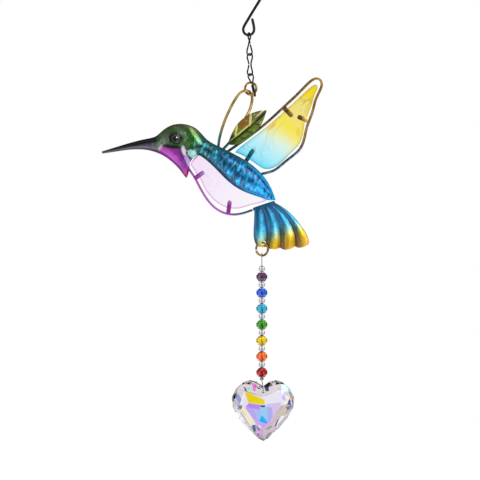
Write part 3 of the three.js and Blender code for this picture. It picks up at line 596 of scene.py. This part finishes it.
def bird_colour(tree, place):
    """Green at the neck, then teal, royal blue and azure towards the tail, in hammered dabs whose palest
    tones are painted highlights.
    """
    turned_place = node(tree, "ShaderNodeVectorRotate",
                        {"Vector": place, "Axis": (0, 1, 0), "Angle": DAB_TURN})
    dab_place = vector(tree, "MULTIPLY", turned_place.outputs[0], DAB_SQUASH)
    dabs = speckle(tree, dab_place, DAB_SIZE)
    # In each ramp the palest stops are painted highlights on the hammered relief; the other stops are the
    # lacquer's own dabbed tones.
    green = ramp(tree, dabs, (0.35, "0C3008"), (0.5, "1C5A18"), (0.66, "4C9038"))
    teal = ramp(tree, dabs, (0.36, "02303C"), (0.48, "04606C"), (0.57, "14848C"), (0.68, "44C0B4"))
    blue = ramp(tree, dabs, (0.34, "003850"), (0.44, "00507C"), (0.53, "0070A4"), (0.61, "0890CC"),
                (0.7, "30C4EC"))
    azure = ramp(tree, dabs, (0.35, "003C78"), (0.44, "0068A8"), (0.52, "008CD4"), (0.68, "08B8F0"))
    along = vector(tree, "DOT_PRODUCT", place, BACK_LINE)
    colour = green
    for start, end, paint in ((24, 32, teal), (34, 54, blue), (68, 84, azure)):
        colour = blended(tree, spread(tree, along, start, end), colour, paint)
    rim_paint = ramp(tree, spread(tree, along, 20, 90),
                     (0.0, "1C4A28"), (0.2, "0A4440"), (0.55, "06445C"), (0.75, "0080B8"), (1.0, "08A8E4"))
    rim = band(tree, place, "Y", -2.6, -1.9)
    colour = blended(tree, calc(tree, "MULTIPLY", rim, 0.85), colour, rim_paint)
    on_beak = band(tree, place, "X", -62, -67)
    front = painted(tree, place, blended(tree, on_beak, colour, beak_colour(tree, place)), HEAD_PAINT_AND_HIGHLIGHTS)
    facing = node(tree, "ShaderNodeSeparateXYZ", {0: node(tree, "ShaderNodeTexCoord").outputs["Normal"]})
    behind = spread(tree, facing.outputs["Y"], 0.2, 0.6)
    plain = ramp(tree, spread(tree, along, -40, 90),
                 (0.15, "0C0C0E"), (0.3, "1A2418"), (0.45, "12301C"), (0.6, "0A3438"), (1.0, "063C60"))
    return blended(tree, behind, front, plain)


bird_paint = metal("bird_paint", bird_colour, 0.27, 0.5, bump=0.06, coat=0.3)
bird = stamped_piece("bird_body", "stamped_bird", 3, bird_paint, 0.7, 70)


# Panes: two pieces of wavy sheet glass, cut to shape and fire-polished to round edges.
# The colour is fired on, strongest round the edge, and the strips below hold each pane.
PANE_GRID = 1.4
PANE_ROUND = 0.6
PANE_STEPS = 4
GRID_MARGIN = 0.35
# Rows of points inside the edge, as shares of how far in it is round.
PANE_ROWS = (0.07, 0.22, 0.5, 1.0, 1.3)


def outline_of(cad_name):
    """The outline of a pane's CAD solid, as points in order round its edge."""
    work = bmesh.new()
    work.from_mesh(quad_copy(cad_name))
    sides = {face for face in work.faces if abs(face.normal.y) < 0.1}
    front = min(vert.co.y for face in sides for vert in face.verts) + 0.1 * MM
    rim = [edge for edge in work.edges
           if len(sides.intersection(edge.link_faces)) == 1 and all(vert.co.y < front for vert in edge.verts)]
    joined = {}
    for edge in rim:
        for vert in edge.verts:
            joined.setdefault(vert, []).append(edge.other_vert(vert))
    first = min(joined, key=lambda vert: vert.co.x)
    loop, previous = [first], None
    while True:
        following = next(vert for vert in joined[loop[-1]] if vert is not previous)
        if following is first:
            break
        previous = loop[-1]
        loop.append(following)
    points = [Vector((vert.co.x, vert.co.z)) for vert in loop]
    work.free()
    return points


def rounded_loop(points, steps):
    """A smooth closed line through the points."""
    count = len(points)
    smooth = []
    for k in range(count):
        before, here, after, beyond = (points[(k + step) % count] for step in (-1, 0, 1, 2))
        for step in range(steps):
            t = step / steps
            bend = 2 * here + (after - before) * t + (2 * before - 5 * here + 4 * after - beyond) * t ** 2
            smooth.append((bend + (3 * here - before - 3 * after + beyond) * t ** 3) / 2)
    return smooth


def rim_distance(spot, loop):
    """How far a spot lies from a closed line, and whether it lies inside."""
    nearest = math.inf
    inside = False
    for k, start in enumerate(loop):
        end = loop[k - 1]
        run = end - start
        share = max(0.0, min(1.0, (spot - start).dot(run) / run.length_squared))
        nearest = min(nearest, (spot - start - run * share).length)
        if (start.y > spot.y) != (end.y > spot.y):
            crossing = start.x + (spot.y - start.y) / (end.y - start.y) * run.x
            inside = inside != (spot.x < crossing)
    return nearest, inside


def inset_spots(loop, distance):
    """Spots that far inside a closed line, one for each of its points that has room for it."""
    for k, spot in enumerate(loop):
        run = loop[(k + 1) % len(loop)] - loop[k - 1]
        for side in (1, -1):
            moved = spot + Vector((-run.y, run.x)).normalized() * side * distance
            nearest, inside = rim_distance(moved, loop)
            if inside and nearest > 0.9 * distance:
                yield moved, nearest


def pane_mesh(cad_name, name, spacing, edge_round):
    """A pane with a round edge, and how far each point lies from the edge as an attribute."""
    loop = rounded_loop(outline_of(cad_name), PANE_STEPS)
    low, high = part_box(cad_name)
    middle_y, half = (low.y + high.y) / 2, (high.y - low.y) / 2
    spots, distances = [*loop], [0.0] * len(loop)
    for share in PANE_ROWS:
        for spot, distance in inset_spots(loop, share * edge_round):
            spots.append(spot)
            distances.append(distance)
    rows = int((high.z - low.z) / spacing) + 1
    columns = int((high.x - low.x) / spacing) + 2
    for row in range(rows):
        for column in range(columns):
            shift = 0.5 if row % 2 else 0.0
            spot = Vector((low.x + (column + shift) * spacing, low.z + row * spacing))
            distance, inside = rim_distance(spot, loop)
            if inside and distance > PANE_ROWS[-1] * edge_round + GRID_MARGIN * spacing:
                spots.append(spot)
                distances.append(distance)
    ring = [(k, (k + 1) % len(loop)) for k in range(len(loop))]
    flat_points, _, faces, *_ = delaunay_2d_cdt(spots, ring, [list(range(len(loop)))], 1, 1e-7)
    on_rim = len(loop)
    mesh = bpy.data.meshes.new(name)
    points, rim_distances, twins = [], [], []
    for k, spot in enumerate(flat_points):
        depth = min(distances[k] / edge_round, 1.0)
        swell = half * math.sqrt(1 - (1 - depth) ** 2)
        points.append((spot.x, middle_y - swell, spot.y))
        rim_distances.append(distances[k] / MM)
    for k, spot in enumerate(flat_points):
        if k < on_rim:
            twins.append(k)
            continue
        twins.append(len(points))
        points.append((spot.x, 2 * middle_y - points[k][1], spot.y))
        rim_distances.append(distances[k] / MM)
    front = [list(face) for face in faces]
    back = [[twins[k] for k in reversed(face)] for face in faces]
    mesh.from_pydata(points, [], front + back)
    rim_values = mesh.attributes.new("rim_distance", "FLOAT", "POINT")
    rim_values.data.foreach_set("value", rim_distances)
    work = bmesh.new()
    work.from_mesh(mesh)
    bmesh.ops.recalc_face_normals(work, faces=work.faces)
    work.to_mesh(mesh)
    work.free()
    for face in mesh.polygons:
        face.use_smooth = True
    return mesh


# The tint's haze, its deeper edge and the line beside it, and the painted shade along the waves, in
# millimetres or shares.
HAZE_SIZE = 14
HAZE_SHIFT = 6.0
EDGE_STRENGTH = 0.65
LINE_INNER = 0.95
LINE_OUTER = 0.5
LINE_STRENGTH = 0.8
WAVE_COUNT = 10.0
WAVE_THIN = 0.06
WAVE_PATCH = 22
WAVE_DEPTH = 2
WAVE_PAINTED_SHADE = "66767A"


def pane_glass(name, paints, across, edge_paints, edge_width, line_paints, wave_shade, spots):
    """Clear wavy glass. Its tint runs across the pane and deepens at the edge, and painted shade shows the
    waves.
    """
    made, tree, shader = new_finish(name, Roughness=0.03, IOR=1.45, Metallic=0.0, Transmission_Weight=1.0)
    place = coordinates(tree)
    x_share, z_share, start, end = across
    along = vector(tree, "DOT_PRODUCT", place, (x_share, 0, z_share))
    haze = calc(tree, "SUBTRACT", speckle(tree, place, HAZE_SIZE), 0.5)
    share = spread(tree, calc(tree, "MULTIPLY_ADD", haze, HAZE_SHIFT, along), start, end)
    colour = ramp(tree, share, *paints)
    distance = node(tree, "ShaderNodeAttribute", attribute_name="rim_distance").outputs["Fac"]
    near = calc(tree, "MULTIPLY", spread(tree, distance, edge_width, 0.2), EDGE_STRENGTH)
    colour = blended(tree, near, colour, ramp(tree, share, *edge_paints))
    line = calc(tree, "MULTIPLY", spread(tree, distance, LINE_INNER, LINE_OUTER), LINE_STRENGTH)
    colour = blended(tree, line, colour, ramp(tree, share, *line_paints))
    colour = painted(tree, place, colour, spots)
    # The waves: thin grey lines of painted shade laid into the glass's colour.
    bent = node(tree, "ShaderNodeTexNoise", {"Vector": place, "Scale": 0.028, "Detail": 0.6,
                                             "Distortion": 1.2}).outputs["Fac"]
    phase = calc(tree, "FRACT", calc(tree, "MULTIPLY", bent, WAVE_COUNT))
    thin = spread(tree, calc(tree, "ABSOLUTE", calc(tree, "SUBTRACT", phase, 0.5)), WAVE_THIN, 0.0)
    shown = calc(tree, "MULTIPLY", thin, spread(tree, speckle(tree, place, WAVE_PATCH), 0.5, 0.62))
    colour = blended(tree, calc(tree, "MULTIPLY", shown, wave_shade), colour, linear(WAVE_PAINTED_SHADE))
    tree.links.new(colour, shader.inputs["Base Color"])
    swell = calc(tree, "ADD", bent, calc(tree, "MULTIPLY", speckle(tree, place, 9), 0.3))
    relief = node(tree, "ShaderNodeBump", {"Height": swell, "Strength": 0.5, "Distance": WAVE_DEPTH * MM})
    tree.links.new(relief.outputs[0], shader.inputs["Normal"])
    return made


def pane(cad_name, name, finish):
    """Puts a pane in the place of its CAD solid."""
    piece = bpy.data.objects.new(name, pane_mesh(cad_name, name, PANE_GRID * MM, PANE_ROUND * MM))
    bpy.context.scene.collection.objects.link(piece)
    piece.data.materials.append(finish)
    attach(piece, "root")
    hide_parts(cad_name)


WING_TINTS = ((0.1, "50D4F4"), (0.2, "88E6FA"), (0.27, "A8EEFC"), (0.36, "C0F2FC"), (0.445, "DCF4E8"),
              (0.51, "ECF2BC"), (0.57, "F6EC80"), (0.66, "F8E850"), (0.75, "F4E27C"), (0.85, "F2E488"),
              (1.0, "F4DE2C"))
BELLY_TINTS = ((0.0, "F8E4FC"), (0.5, "FAF0FE"), (1.0, "FCF8FE"))
WING_SPOTS = [
    (16.2, -104.6, 4.0, 1.0, 40, 0.5, 0.6, "F4A840"),
    (34.8, -108.6, 1.6, 3.0, 0, 0.5, 0.4, "F0B050"),
]
BELLY_SHADE_SPOTS = [
    # Painted shade: a dark blue-grey line at the pane's corner where it meets the bird.
    (-39.6, -127.6, 4.8, 0.8, 42, 0.4, 0.7, "5878A8"),
]
WING_EDGE = ((0.0, "10C0F0"), (0.3, "50D4F0"), (0.48, "D0E890"), (0.6, "F0DC30"), (1.0, "F0C810"))
WING_LINE = ((0.2, "1890B0"), (0.45, "8AA890"), (0.7, "C8A828"))
BELLY_EDGE = ((0.0, "F0C8F4"), (0.35, "F2D0EC"), (1.0, "F6D4F0"))
BELLY_LINE = ((0.0, "D080D0"), (1.0, "E078C0"))
# The way that a tint runs, as its share of X and of Z, and where it starts and ends.
WING_ACROSS = (0.55, 0.83, -119, -45)
BELLY_ACROSS = (0.8, -0.6, 50, 104)
pane("wing_glass", "wing_pane", pane_glass("wing_glass", WING_TINTS, WING_ACROSS, WING_EDGE, 3.0,
                                           WING_LINE, 0.9, WING_SPOTS))
pane("belly_glass", "belly_pane", pane_glass("belly_glass", BELLY_TINTS, BELLY_ACROSS, BELLY_EDGE, 1.6,
                                             BELLY_LINE, 0.2, BELLY_SHADE_SPOTS))


# Strips: short pieces of thin metal, folded over a pane's edge and soldered to the wire or
# the bird. They are bronze on the wing, teal by the back and magenta on the belly.
def strip_colour(dark, bright, end_paint, place_axis, start, end):
    """A colour function of two tones that turns to a third along an axis."""
    def colour(tree, place):
        base = ramp(tree, speckle(tree, place, 2), (0.35, dark), (0.65, bright))
        return blended(tree, band(tree, place, place_axis, start, end), base, linear(end_paint))
    return colour


# Each strip's node, what it is soldered to, a material slot name and its paint. The finish is named after the
# node.
STRIPS = (
    ("wing_tab_1", "wing_frame", "wing_tab_bronze", strip_colour("2E1E0C", "8A6A28", "9A7A30", "X", 27, 32)),
    ("wing_tab_2", "wing_frame", "wing_tab_bronze", strip_colour("3A2408", "7A5414", "D8C060", "X", 37, 41)),
    ("wing_tab_3", "bird_body", "wing_tab_teal", strip_colour("043840", "0E7080", "1E8494", "Z", -124, -120)),
    ("belly_tab_1", "belly_frame", "belly_tab", strip_colour("8A2490", "B058B8", "A890C8", "X", -36, -32)),
    ("belly_tab_2", "belly_frame", "belly_tab", strip_colour("8A2490", "A040A0", "B088C4", "Z", -161, -157)),
)
STRIP_EDGE = 0.3
STRIP_REACH = 0.7


def soldered(mesh, holder):
    """Lengthens a strip at the end that lies nearer to what it is soldered to, so that it gets there."""
    centre = sum((vert.co for vert in mesh.vertices), Vector()) / len(mesh.vertices)
    spots = [vert.co - centre for vert in mesh.vertices]
    # The strip's long way is the one along which its points are most spread.
    turn = math.atan2(2 * sum(p.x * p.z for p in spots), sum(p.x ** 2 - p.z ** 2 for p in spots)) / 2
    axis = Vector((math.cos(turn), 0, math.sin(turn)))
    around = [vert.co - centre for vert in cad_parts[holder].data.vertices]
    if min(around, key=lambda p: p.length).dot(axis) < 0:
        axis.negate()
    for vert, spot in zip(mesh.vertices, spots):
        if spot.dot(axis) > 0:
            vert.co += axis * STRIP_REACH * MM
    return mesh


for cad_name, holder, strip_slot, strip_paint in STRIPS:
    strip = bpy.data.objects.new("folded_" + cad_name, soldered(quad_copy(cad_name), holder))
    bpy.context.scene.collection.objects.link(strip)
    strip.data.materials.append(metal(cad_name + "_paint", strip_paint, 0.35, 0.6))
    rounded = strip.modifiers.new("rounded_edges", "BEVEL")
    rounded.width = STRIP_EDGE * MM
    rounded.segments = 2
    rounded.angle_limit = math.radians(40)
    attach(strip, "root")
    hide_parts(cad_name)


# Tail: thin sheet pressed into four flutes and rolled over the belly wire's end along its
# top. The blue lacquer, with painted shade in the valleys and painted highlights on the ridges,
# gives way to gold and brown at the foot.
TAIL_SLANT = 0.365
# How far a flute's height and its tilt towards the right bring painted highlight in place of painted shade,
# and how far brush strokes vary the lacquer.
PAINTED_LIGHT_BY_HEIGHT = 0.55
PAINTED_LIGHT_BY_LEAN = 0.6
BY_STROKE = 0.5


def tail_colour(tree, place):
    """Painted shade in the valleys and on each flute's left flank and painted highlights on the crests and
    right flanks, in colours that run from the top edge to the foot, which lies at a slant.
    """
    x, _, z = node(tree, "ShaderNodeSeparateXYZ", {0: place}).outputs
    ridge = band(tree, place, "Y", -1.2, -3.3)
    stroke = speckle(tree, vector(tree, "MULTIPLY", place, (1.0, 0.6, 0.2)), 1.8)
    low = spread(tree, calc(tree, "MULTIPLY_ADD", x, -TAIL_SLANT, z), -168, -206)
    valley_shade = ramp(tree, low, (0.0, "005078"), (0.35, "005E90"), (0.5, "044854"), (0.6, "34400C"),
                  (0.8, "684404"), (1.0, "785410"))
    crest_highlight = ramp(tree, low, (0.0, "0890C0"), (0.18, "0CA8D8"), (0.38, "3CC4E8"), (0.5, "90DCE0"),
                 (0.58, "D4E8A8"), (0.66, "F0D430"), (0.8, "F0B818"), (1.0, "ECC860"))
    # Flanks that face right get painted highlight, and flanks that face left get painted shade.
    facing = node(tree, "ShaderNodeSeparateXYZ", {0: node(tree, "ShaderNodeTexCoord").outputs["Normal"]})
    lean = calc(tree, "MULTIPLY", facing.outputs["X"], PAINTED_LIGHT_BY_LEAN)
    height = calc(tree, "MULTIPLY_ADD", ridge, PAINTED_LIGHT_BY_HEIGHT, lean)
    shade = calc(tree, "MULTIPLY_ADD", calc(tree, "SUBTRACT", stroke, 0.5), BY_STROKE, height)
    return blended(tree, spread(tree, shade, 0.12, 0.6), valley_shade, crest_highlight)


tail_paint = metal("tail_paint", tail_colour, 0.27, 0.5, bump=0.02, coat=0.25)
stamped_piece("tail", "fluted_tail", 2, tail_paint)


# Hem: the tail's top edge, rolled round the end of the belly wire. The sheet is thin, so
# it shows a coil at each end, and its lacquer is dark blue all over.
HEM_ENDS = ((2.7, -0.5, -163.8), (18.2, -0.5, -158.6))
HEM_RADIUS = 1.3
HEM_SHEET = 0.32
HEM_GAP = 0.08
HEM_TURNS = 1.4
HEM_STEPS = 40
HEM_EDGE = 0.06


def coil_ring(work, centre, out, up):
    """One end's coil, as pairs of points on the sheet's two sides, from outside inwards."""
    pairs = []
    for k in range(HEM_STEPS + 1):
        share = k / HEM_STEPS
        angle = share * HEM_TURNS * math.tau
        reach = HEM_RADIUS - share * HEM_TURNS * (HEM_SHEET + HEM_GAP)
        around = out * math.cos(angle) + up * math.sin(angle)
        pairs.append([work.verts.new((centre + around * r) * MM) for r in (reach, reach - HEM_SHEET)])
    return pairs


def rolled_sheet(name):
    """The hem as a closed mesh: its two sides, its two coiled ends and its two long edges."""
    work = bmesh.new()
    start, end = (Vector(point) for point in HEM_ENDS)
    out = Vector((0, 1, 0))
    up = out.cross((end - start).normalized())
    first, last = (coil_ring(work, centre, out, up) for centre in (start, end))
    for k in range(HEM_STEPS):
        here, there = first[k], first[k + 1]
        far, farther = last[k], last[k + 1]
        work.faces.new((here[0], there[0], farther[0], far[0]))
        work.faces.new((here[1], far[1], farther[1], there[1]))
        work.faces.new((here[0], here[1], there[1], there[0]))
        work.faces.new((far[0], farther[0], farther[1], far[1]))
    for k in (0, HEM_STEPS):
        work.faces.new((first[k][0], first[k][1], last[k][1], last[k][0]))
    bmesh.ops.recalc_face_normals(work, faces=work.faces)
    mesh = bpy.data.meshes.new(name)
    work.to_mesh(mesh)
    work.free()
    return mesh


hem = bpy.data.objects.new("rolled_hem", rolled_sheet("rolled_hem"))
bpy.context.scene.collection.objects.link(hem)
hem.data.materials.append(metal("hem_blue", mottled("022430", "054A5C", 3), 0.3, 0.45, coat=0.2))
hem_edges = hem.modifiers.new("soft_edges", "BEVEL")
hem_edges.width = HEM_EDGE * MM
hem_edges.segments = 2
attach(hem, "root")


# Bead string: nylon-coated steel beading wire, looped over the tail ring, through fourteen
# glass beads and a pressed crimp, and through the bore of the heart.
STRING_WIRE = 0.5
wire_grey = metal("wire_grey", mottled("343232", "787470", 1), 0.3, 0.9)
round_piece("beading_wire", "looped_wire", STRING_WIRE, 6, wire_grey, 0.0)
crimp_silver = metal("crimp_silver", mottled("3C3A38", "A09C98", 1), 0.35, 0.9)


def dress(cad_name, finish):
    """Puts a finish on a CAD node that stays as it is."""
    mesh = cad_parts[cad_name].data
    mesh.materials.clear()
    mesh.materials.append(finish)


dress("crimp", crimp_silver)


def cut_glass(name, edge_shade, bright):
    """Transparent glass, brighter where it faces the eye and darkened at its edges by painted shade, with
    some spots.
    """
    made, tree, shader = new_finish(name, Roughness=0.015, IOR=1.52, Metallic=0.0, Transmission_Weight=1.0)
    place = coordinates(tree)
    spots = calc(tree, "MULTIPLY", calc(tree, "SUBTRACT", speckle(tree, place, 2.5), 0.5), 0.4)
    facing = node(tree, "ShaderNodeLayerWeight", {"Blend": 0.5}).outputs["Facing"]
    colour = ramp(tree, calc(tree, "ADD", facing, spots), (0.15, bright), (0.75, edge_shade))
    tree.links.new(colour, shader.inputs["Base Color"])
    return made


# Each bead's finish, its colour at the edge with painted shade in it, and its colour where it faces the eye.
BEADS = (
    ("bead_plum", "1E0618", "64385C"),
    ("bead_blue", "041878", "2060E4"),
    ("bead_cyan", "045C80", "28B8DC"),
    ("bead_green", "104800", "40A414"),
    ("bead_yellow", "A07C00", "ECD004"),
    ("bead_orange", "B83000", "F87010"),
    ("bead_red", "400000", "B80008"),
)
# Clear beads: grey painted shade at the edges, pale grey where they face the eye.
clear_bead = cut_glass("clear_bead", "5A5C62", "D8DADE")
for number, (bead_finish, edge_shade, bright) in enumerate(BEADS, 1):
    dress(f"rondelle_{number}", cut_glass(bead_finish, edge_shade, bright))
    dress(f"clear_bead_{number}", clear_bead)


# Heart: cut lead crystal with a rainbow coating, drilled under its notch. Its front is painted with
# sharp patches of the coating's yellow, violet, blue and pink, grey painted shade and dark painted
# reflections.
CORNERS = ("First", "Second", "Third", "Fourth")
facet, given = shader_group("facet_patch", ["Place", *CORNERS], ["Softness"], ["Mask"])
below = calc(facet, "MULTIPLY", given["Softness"], -1.0)
inside = 1.0
for start, end in zip(CORNERS, (*CORNERS[1:], CORNERS[0])):
    run = vector(facet, "SUBTRACT", given[end], given[start])
    inward = vector(facet, "NORMALIZE", vector(facet, "CROSS_PRODUCT", run, (0, 1, 0)))
    side = vector(facet, "DOT_PRODUCT", vector(facet, "SUBTRACT", given["Place"], given[start]), inward)
    inside = calc(facet, "MULTIPLY", inside, spread(facet, side, below, given["Softness"]))
node(facet, "NodeGroupOutput", {"Mask": inside})

FACET_BLUR = 0.2
UNCOATED = "F6F4FA"
HEART_CENTRE = (9.65, -302.3)
# Each patch's colour and its four corners, in millimetres from the heart's centre: the coating's colours,
# grey painted shade on the crown and dark painted reflections of the facets.
HEART_COATING_AND_PAINTED_LIGHT = [
    # Grey and beige painted shade on the crown.
    ("B9B4B4", [(-24, 20), (24, 20), (24, 6), (-24, 6)]),
    ("BDB9BC", [(-24, 6), (-12, 8), (-2, -18), (-2, -28)]),
    ("C8C0BC", [(24, 6), (13, 6), (-2, -16), (-2, -28)]),
    ("D4C8B0", [(14, 8), (22, 2), (16, -8), (8, -8)]),
    # The rest: the coating's colours where facets show, which are partly painted reflection, with dark
    # painted reflections and grey painted shade among them.
    ("D8C4CC", [(0, -17), (9, -12), (10, -18), (0, -26)]),
    ("C0ACC4", [(-6, -15), (0, -17), (0, -26), (-7, -21)]),
    ("EFEDF6", [(-13, 9.5), (0, 5.6), (0, -17), (-16, 1)]),
    ("F4F2FA", [(0, 5.6), (14, 11), (16, 1), (0, -17)]),
    ("F8F0CC", [(-17.8, -1.4), (-12, -1), (-4.5, -14.5), (-8.6, -15.6)]),
    ("E2CEF2", [(2, 0.6), (12.5, 1.8), (12.5, 0), (6, -11)]),
    ("D2C0BC", [(12.8, 0), (15.6, -1), (6.4, -14), (5.6, -11.6)]),
    ("C4B0F8", [(-12.6, -1.8), (-3, -1.8), (-3, -15), (-4, -15)]),
    ("B2C8FA", [(-7, -1.8), (4, -1.8), (4, -15.5), (-2, -15)]),
    ("A0D8FC", [(-0.8, -1.2), (3, -1.2), (2.4, -9), (-2.4, -10)]),
    ("B4BCF8", [(3, -1.2), (6.2, -2), (7, -8), (3.6, -14)]),
    ("E0A8F4", [(-4.4, -12.8), (6.4, -13.2), (4, -16), (0.6, -17)]),
    ("BE92FA", [(-12.6, -1.4), (-10, 1.4), (-1.6, 0), (-2.6, -3.2)]),
    ("30309C", [(-2.2, -0.2), (1.6, -0.2), (1.4, -1.4), (-1.4, -1.6)]),
    ("F2DC08", [(-12.8, 8.6), (-11.4, 9.2), (1.0, 3.6), (-10.2, 1.4)]),
    ("F8E40C", [(-10.4, 1.6), (1.0, 3.8), (1.2, 0.2), (-9.4, 1.2)]),
    ("08BCF8", [(-1.2, -7.6), (-0.4, -7.6), (3.2, -12.2), (2.4, -13.6)]),
    ("08BCF8", [(-2.8, -11.6), (-1.2, -7.6), (2.4, -13.6), (0, -12.6)]),
    ("68A454", [(1.4, -17.2), (6.0, -14.6), (7.0, -15.2), (3.6, -17.6)]),
    ("F0A0F8", [(-5.0, -18.4), (-1.2, -18.6), (-1.2, -20.6), (-5.0, -20.4)]),
    ("0868A8", [(-7.8, -14.4), (-5.4, -14.2), (-5.2, -17.4), (-7.6, -17)]),
    ("042C40", [(-7.4, -17), (-5.2, -17.2), (-5.2, -18.8), (-6.4, -18.8)]),
    ("100C94", [(18.6, 4.2), (17.0, -0.4), (19.8, -0.4), (19.6, 2)]),
    ("78E4F0", [(15.6, 10.4), (20.6, 9.6), (20.8, 8.4), (17, 8.8)]),
    ("C8E4F0", [(12.6, 15.6), (17.6, 12.6), (20, 10), (13.6, 9)]),
    ("B0A6F2", [(14.2, 9), (16.4, 4), (16.4, 1.6), (13.6, 4.6)]),
    ("C06CB0", [(-7.8, 14), (-4.4, 14.4), (-5.4, 9.4), (-7, 9.8)]),
    ("84C494", [(-11.4, 11.4), (-8, 12), (-8, 10), (-11, 10.6)]),
    ("3C2A5C", [(0.6, 14.6), (4.0, 14.2), (4.2, 9.4), (1.8, 9.4)]),
    ("3C3C90", [(8.0, -15.6), (9.4, -15.2), (11.4, -10), (10.4, -10.4)]),
    ("8088B0", [(-21.6, 7.4), (-17, 7.2), (-15, 3.4), (-16.6, 0.4)]),
    ("4C5C84", [(-22.6, 9), (-20.6, 8.4), (-20.8, 5.2), (-21.6, 5)]),
    ("2A2038", [(-13.8, 12.2), (-12.4, 12), (-11.4, 9.6), (-12.2, 9.6)]),
    ("5C5A6C", [(-17.6, -0.4), (-14.6, -1), (-15.6, -3.4), (-17.2, -2.8)]),
    ("6C6070", [(15.8, -1.2), (20, -1.2), (18.4, -3.6), (17, -3.6)]),
]


def turning(corners):
    """Twice the area that the corners enclose, above nought when they go anticlockwise."""
    return sum(a[0] * b[1] - b[0] * a[1] for a, b in zip(corners, [*corners[1:], corners[0]]))


def heart_finish():
    """Crystal whose front is painted with the facets' colours, their painted shade and their painted
    reflections.

    They are squared, because light that goes in through glass takes only their square root."""
    made, tree, shader = new_finish("heart_crystal", Roughness=0.01, IOR=1.5, Metallic=0.0,
                                    Transmission_Weight=1.0)
    place = coordinates(tree)
    centre_x, centre_z = HEART_CENTRE
    local = vector(tree, "SUBTRACT", place, (centre_x, 0, centre_z))
    colour = linear(UNCOATED)
    for paint, corners in HEART_COATING_AND_PAINTED_LIGHT:
        ordered = corners if turning(corners) > 0 else corners[::-1]
        spots = {label: (x, 0, z) for label, (x, z) in zip(CORNERS, ordered)}
        spot = node(tree, "ShaderNodeGroup", {"Place": local, "Softness": FACET_BLUR, **spots},
                    node_tree=facet)
        colour = blended(tree, spot.outputs["Mask"], colour, linear(paint))
    colour = blended(tree, band(tree, place, "Y", 0.5, -0.5), linear(UNCOATED), colour)
    tree.links.new(vector(tree, "MULTIPLY", colour, colour), shader.inputs["Base Color"])
    return made


dress("heart", heart_finish())
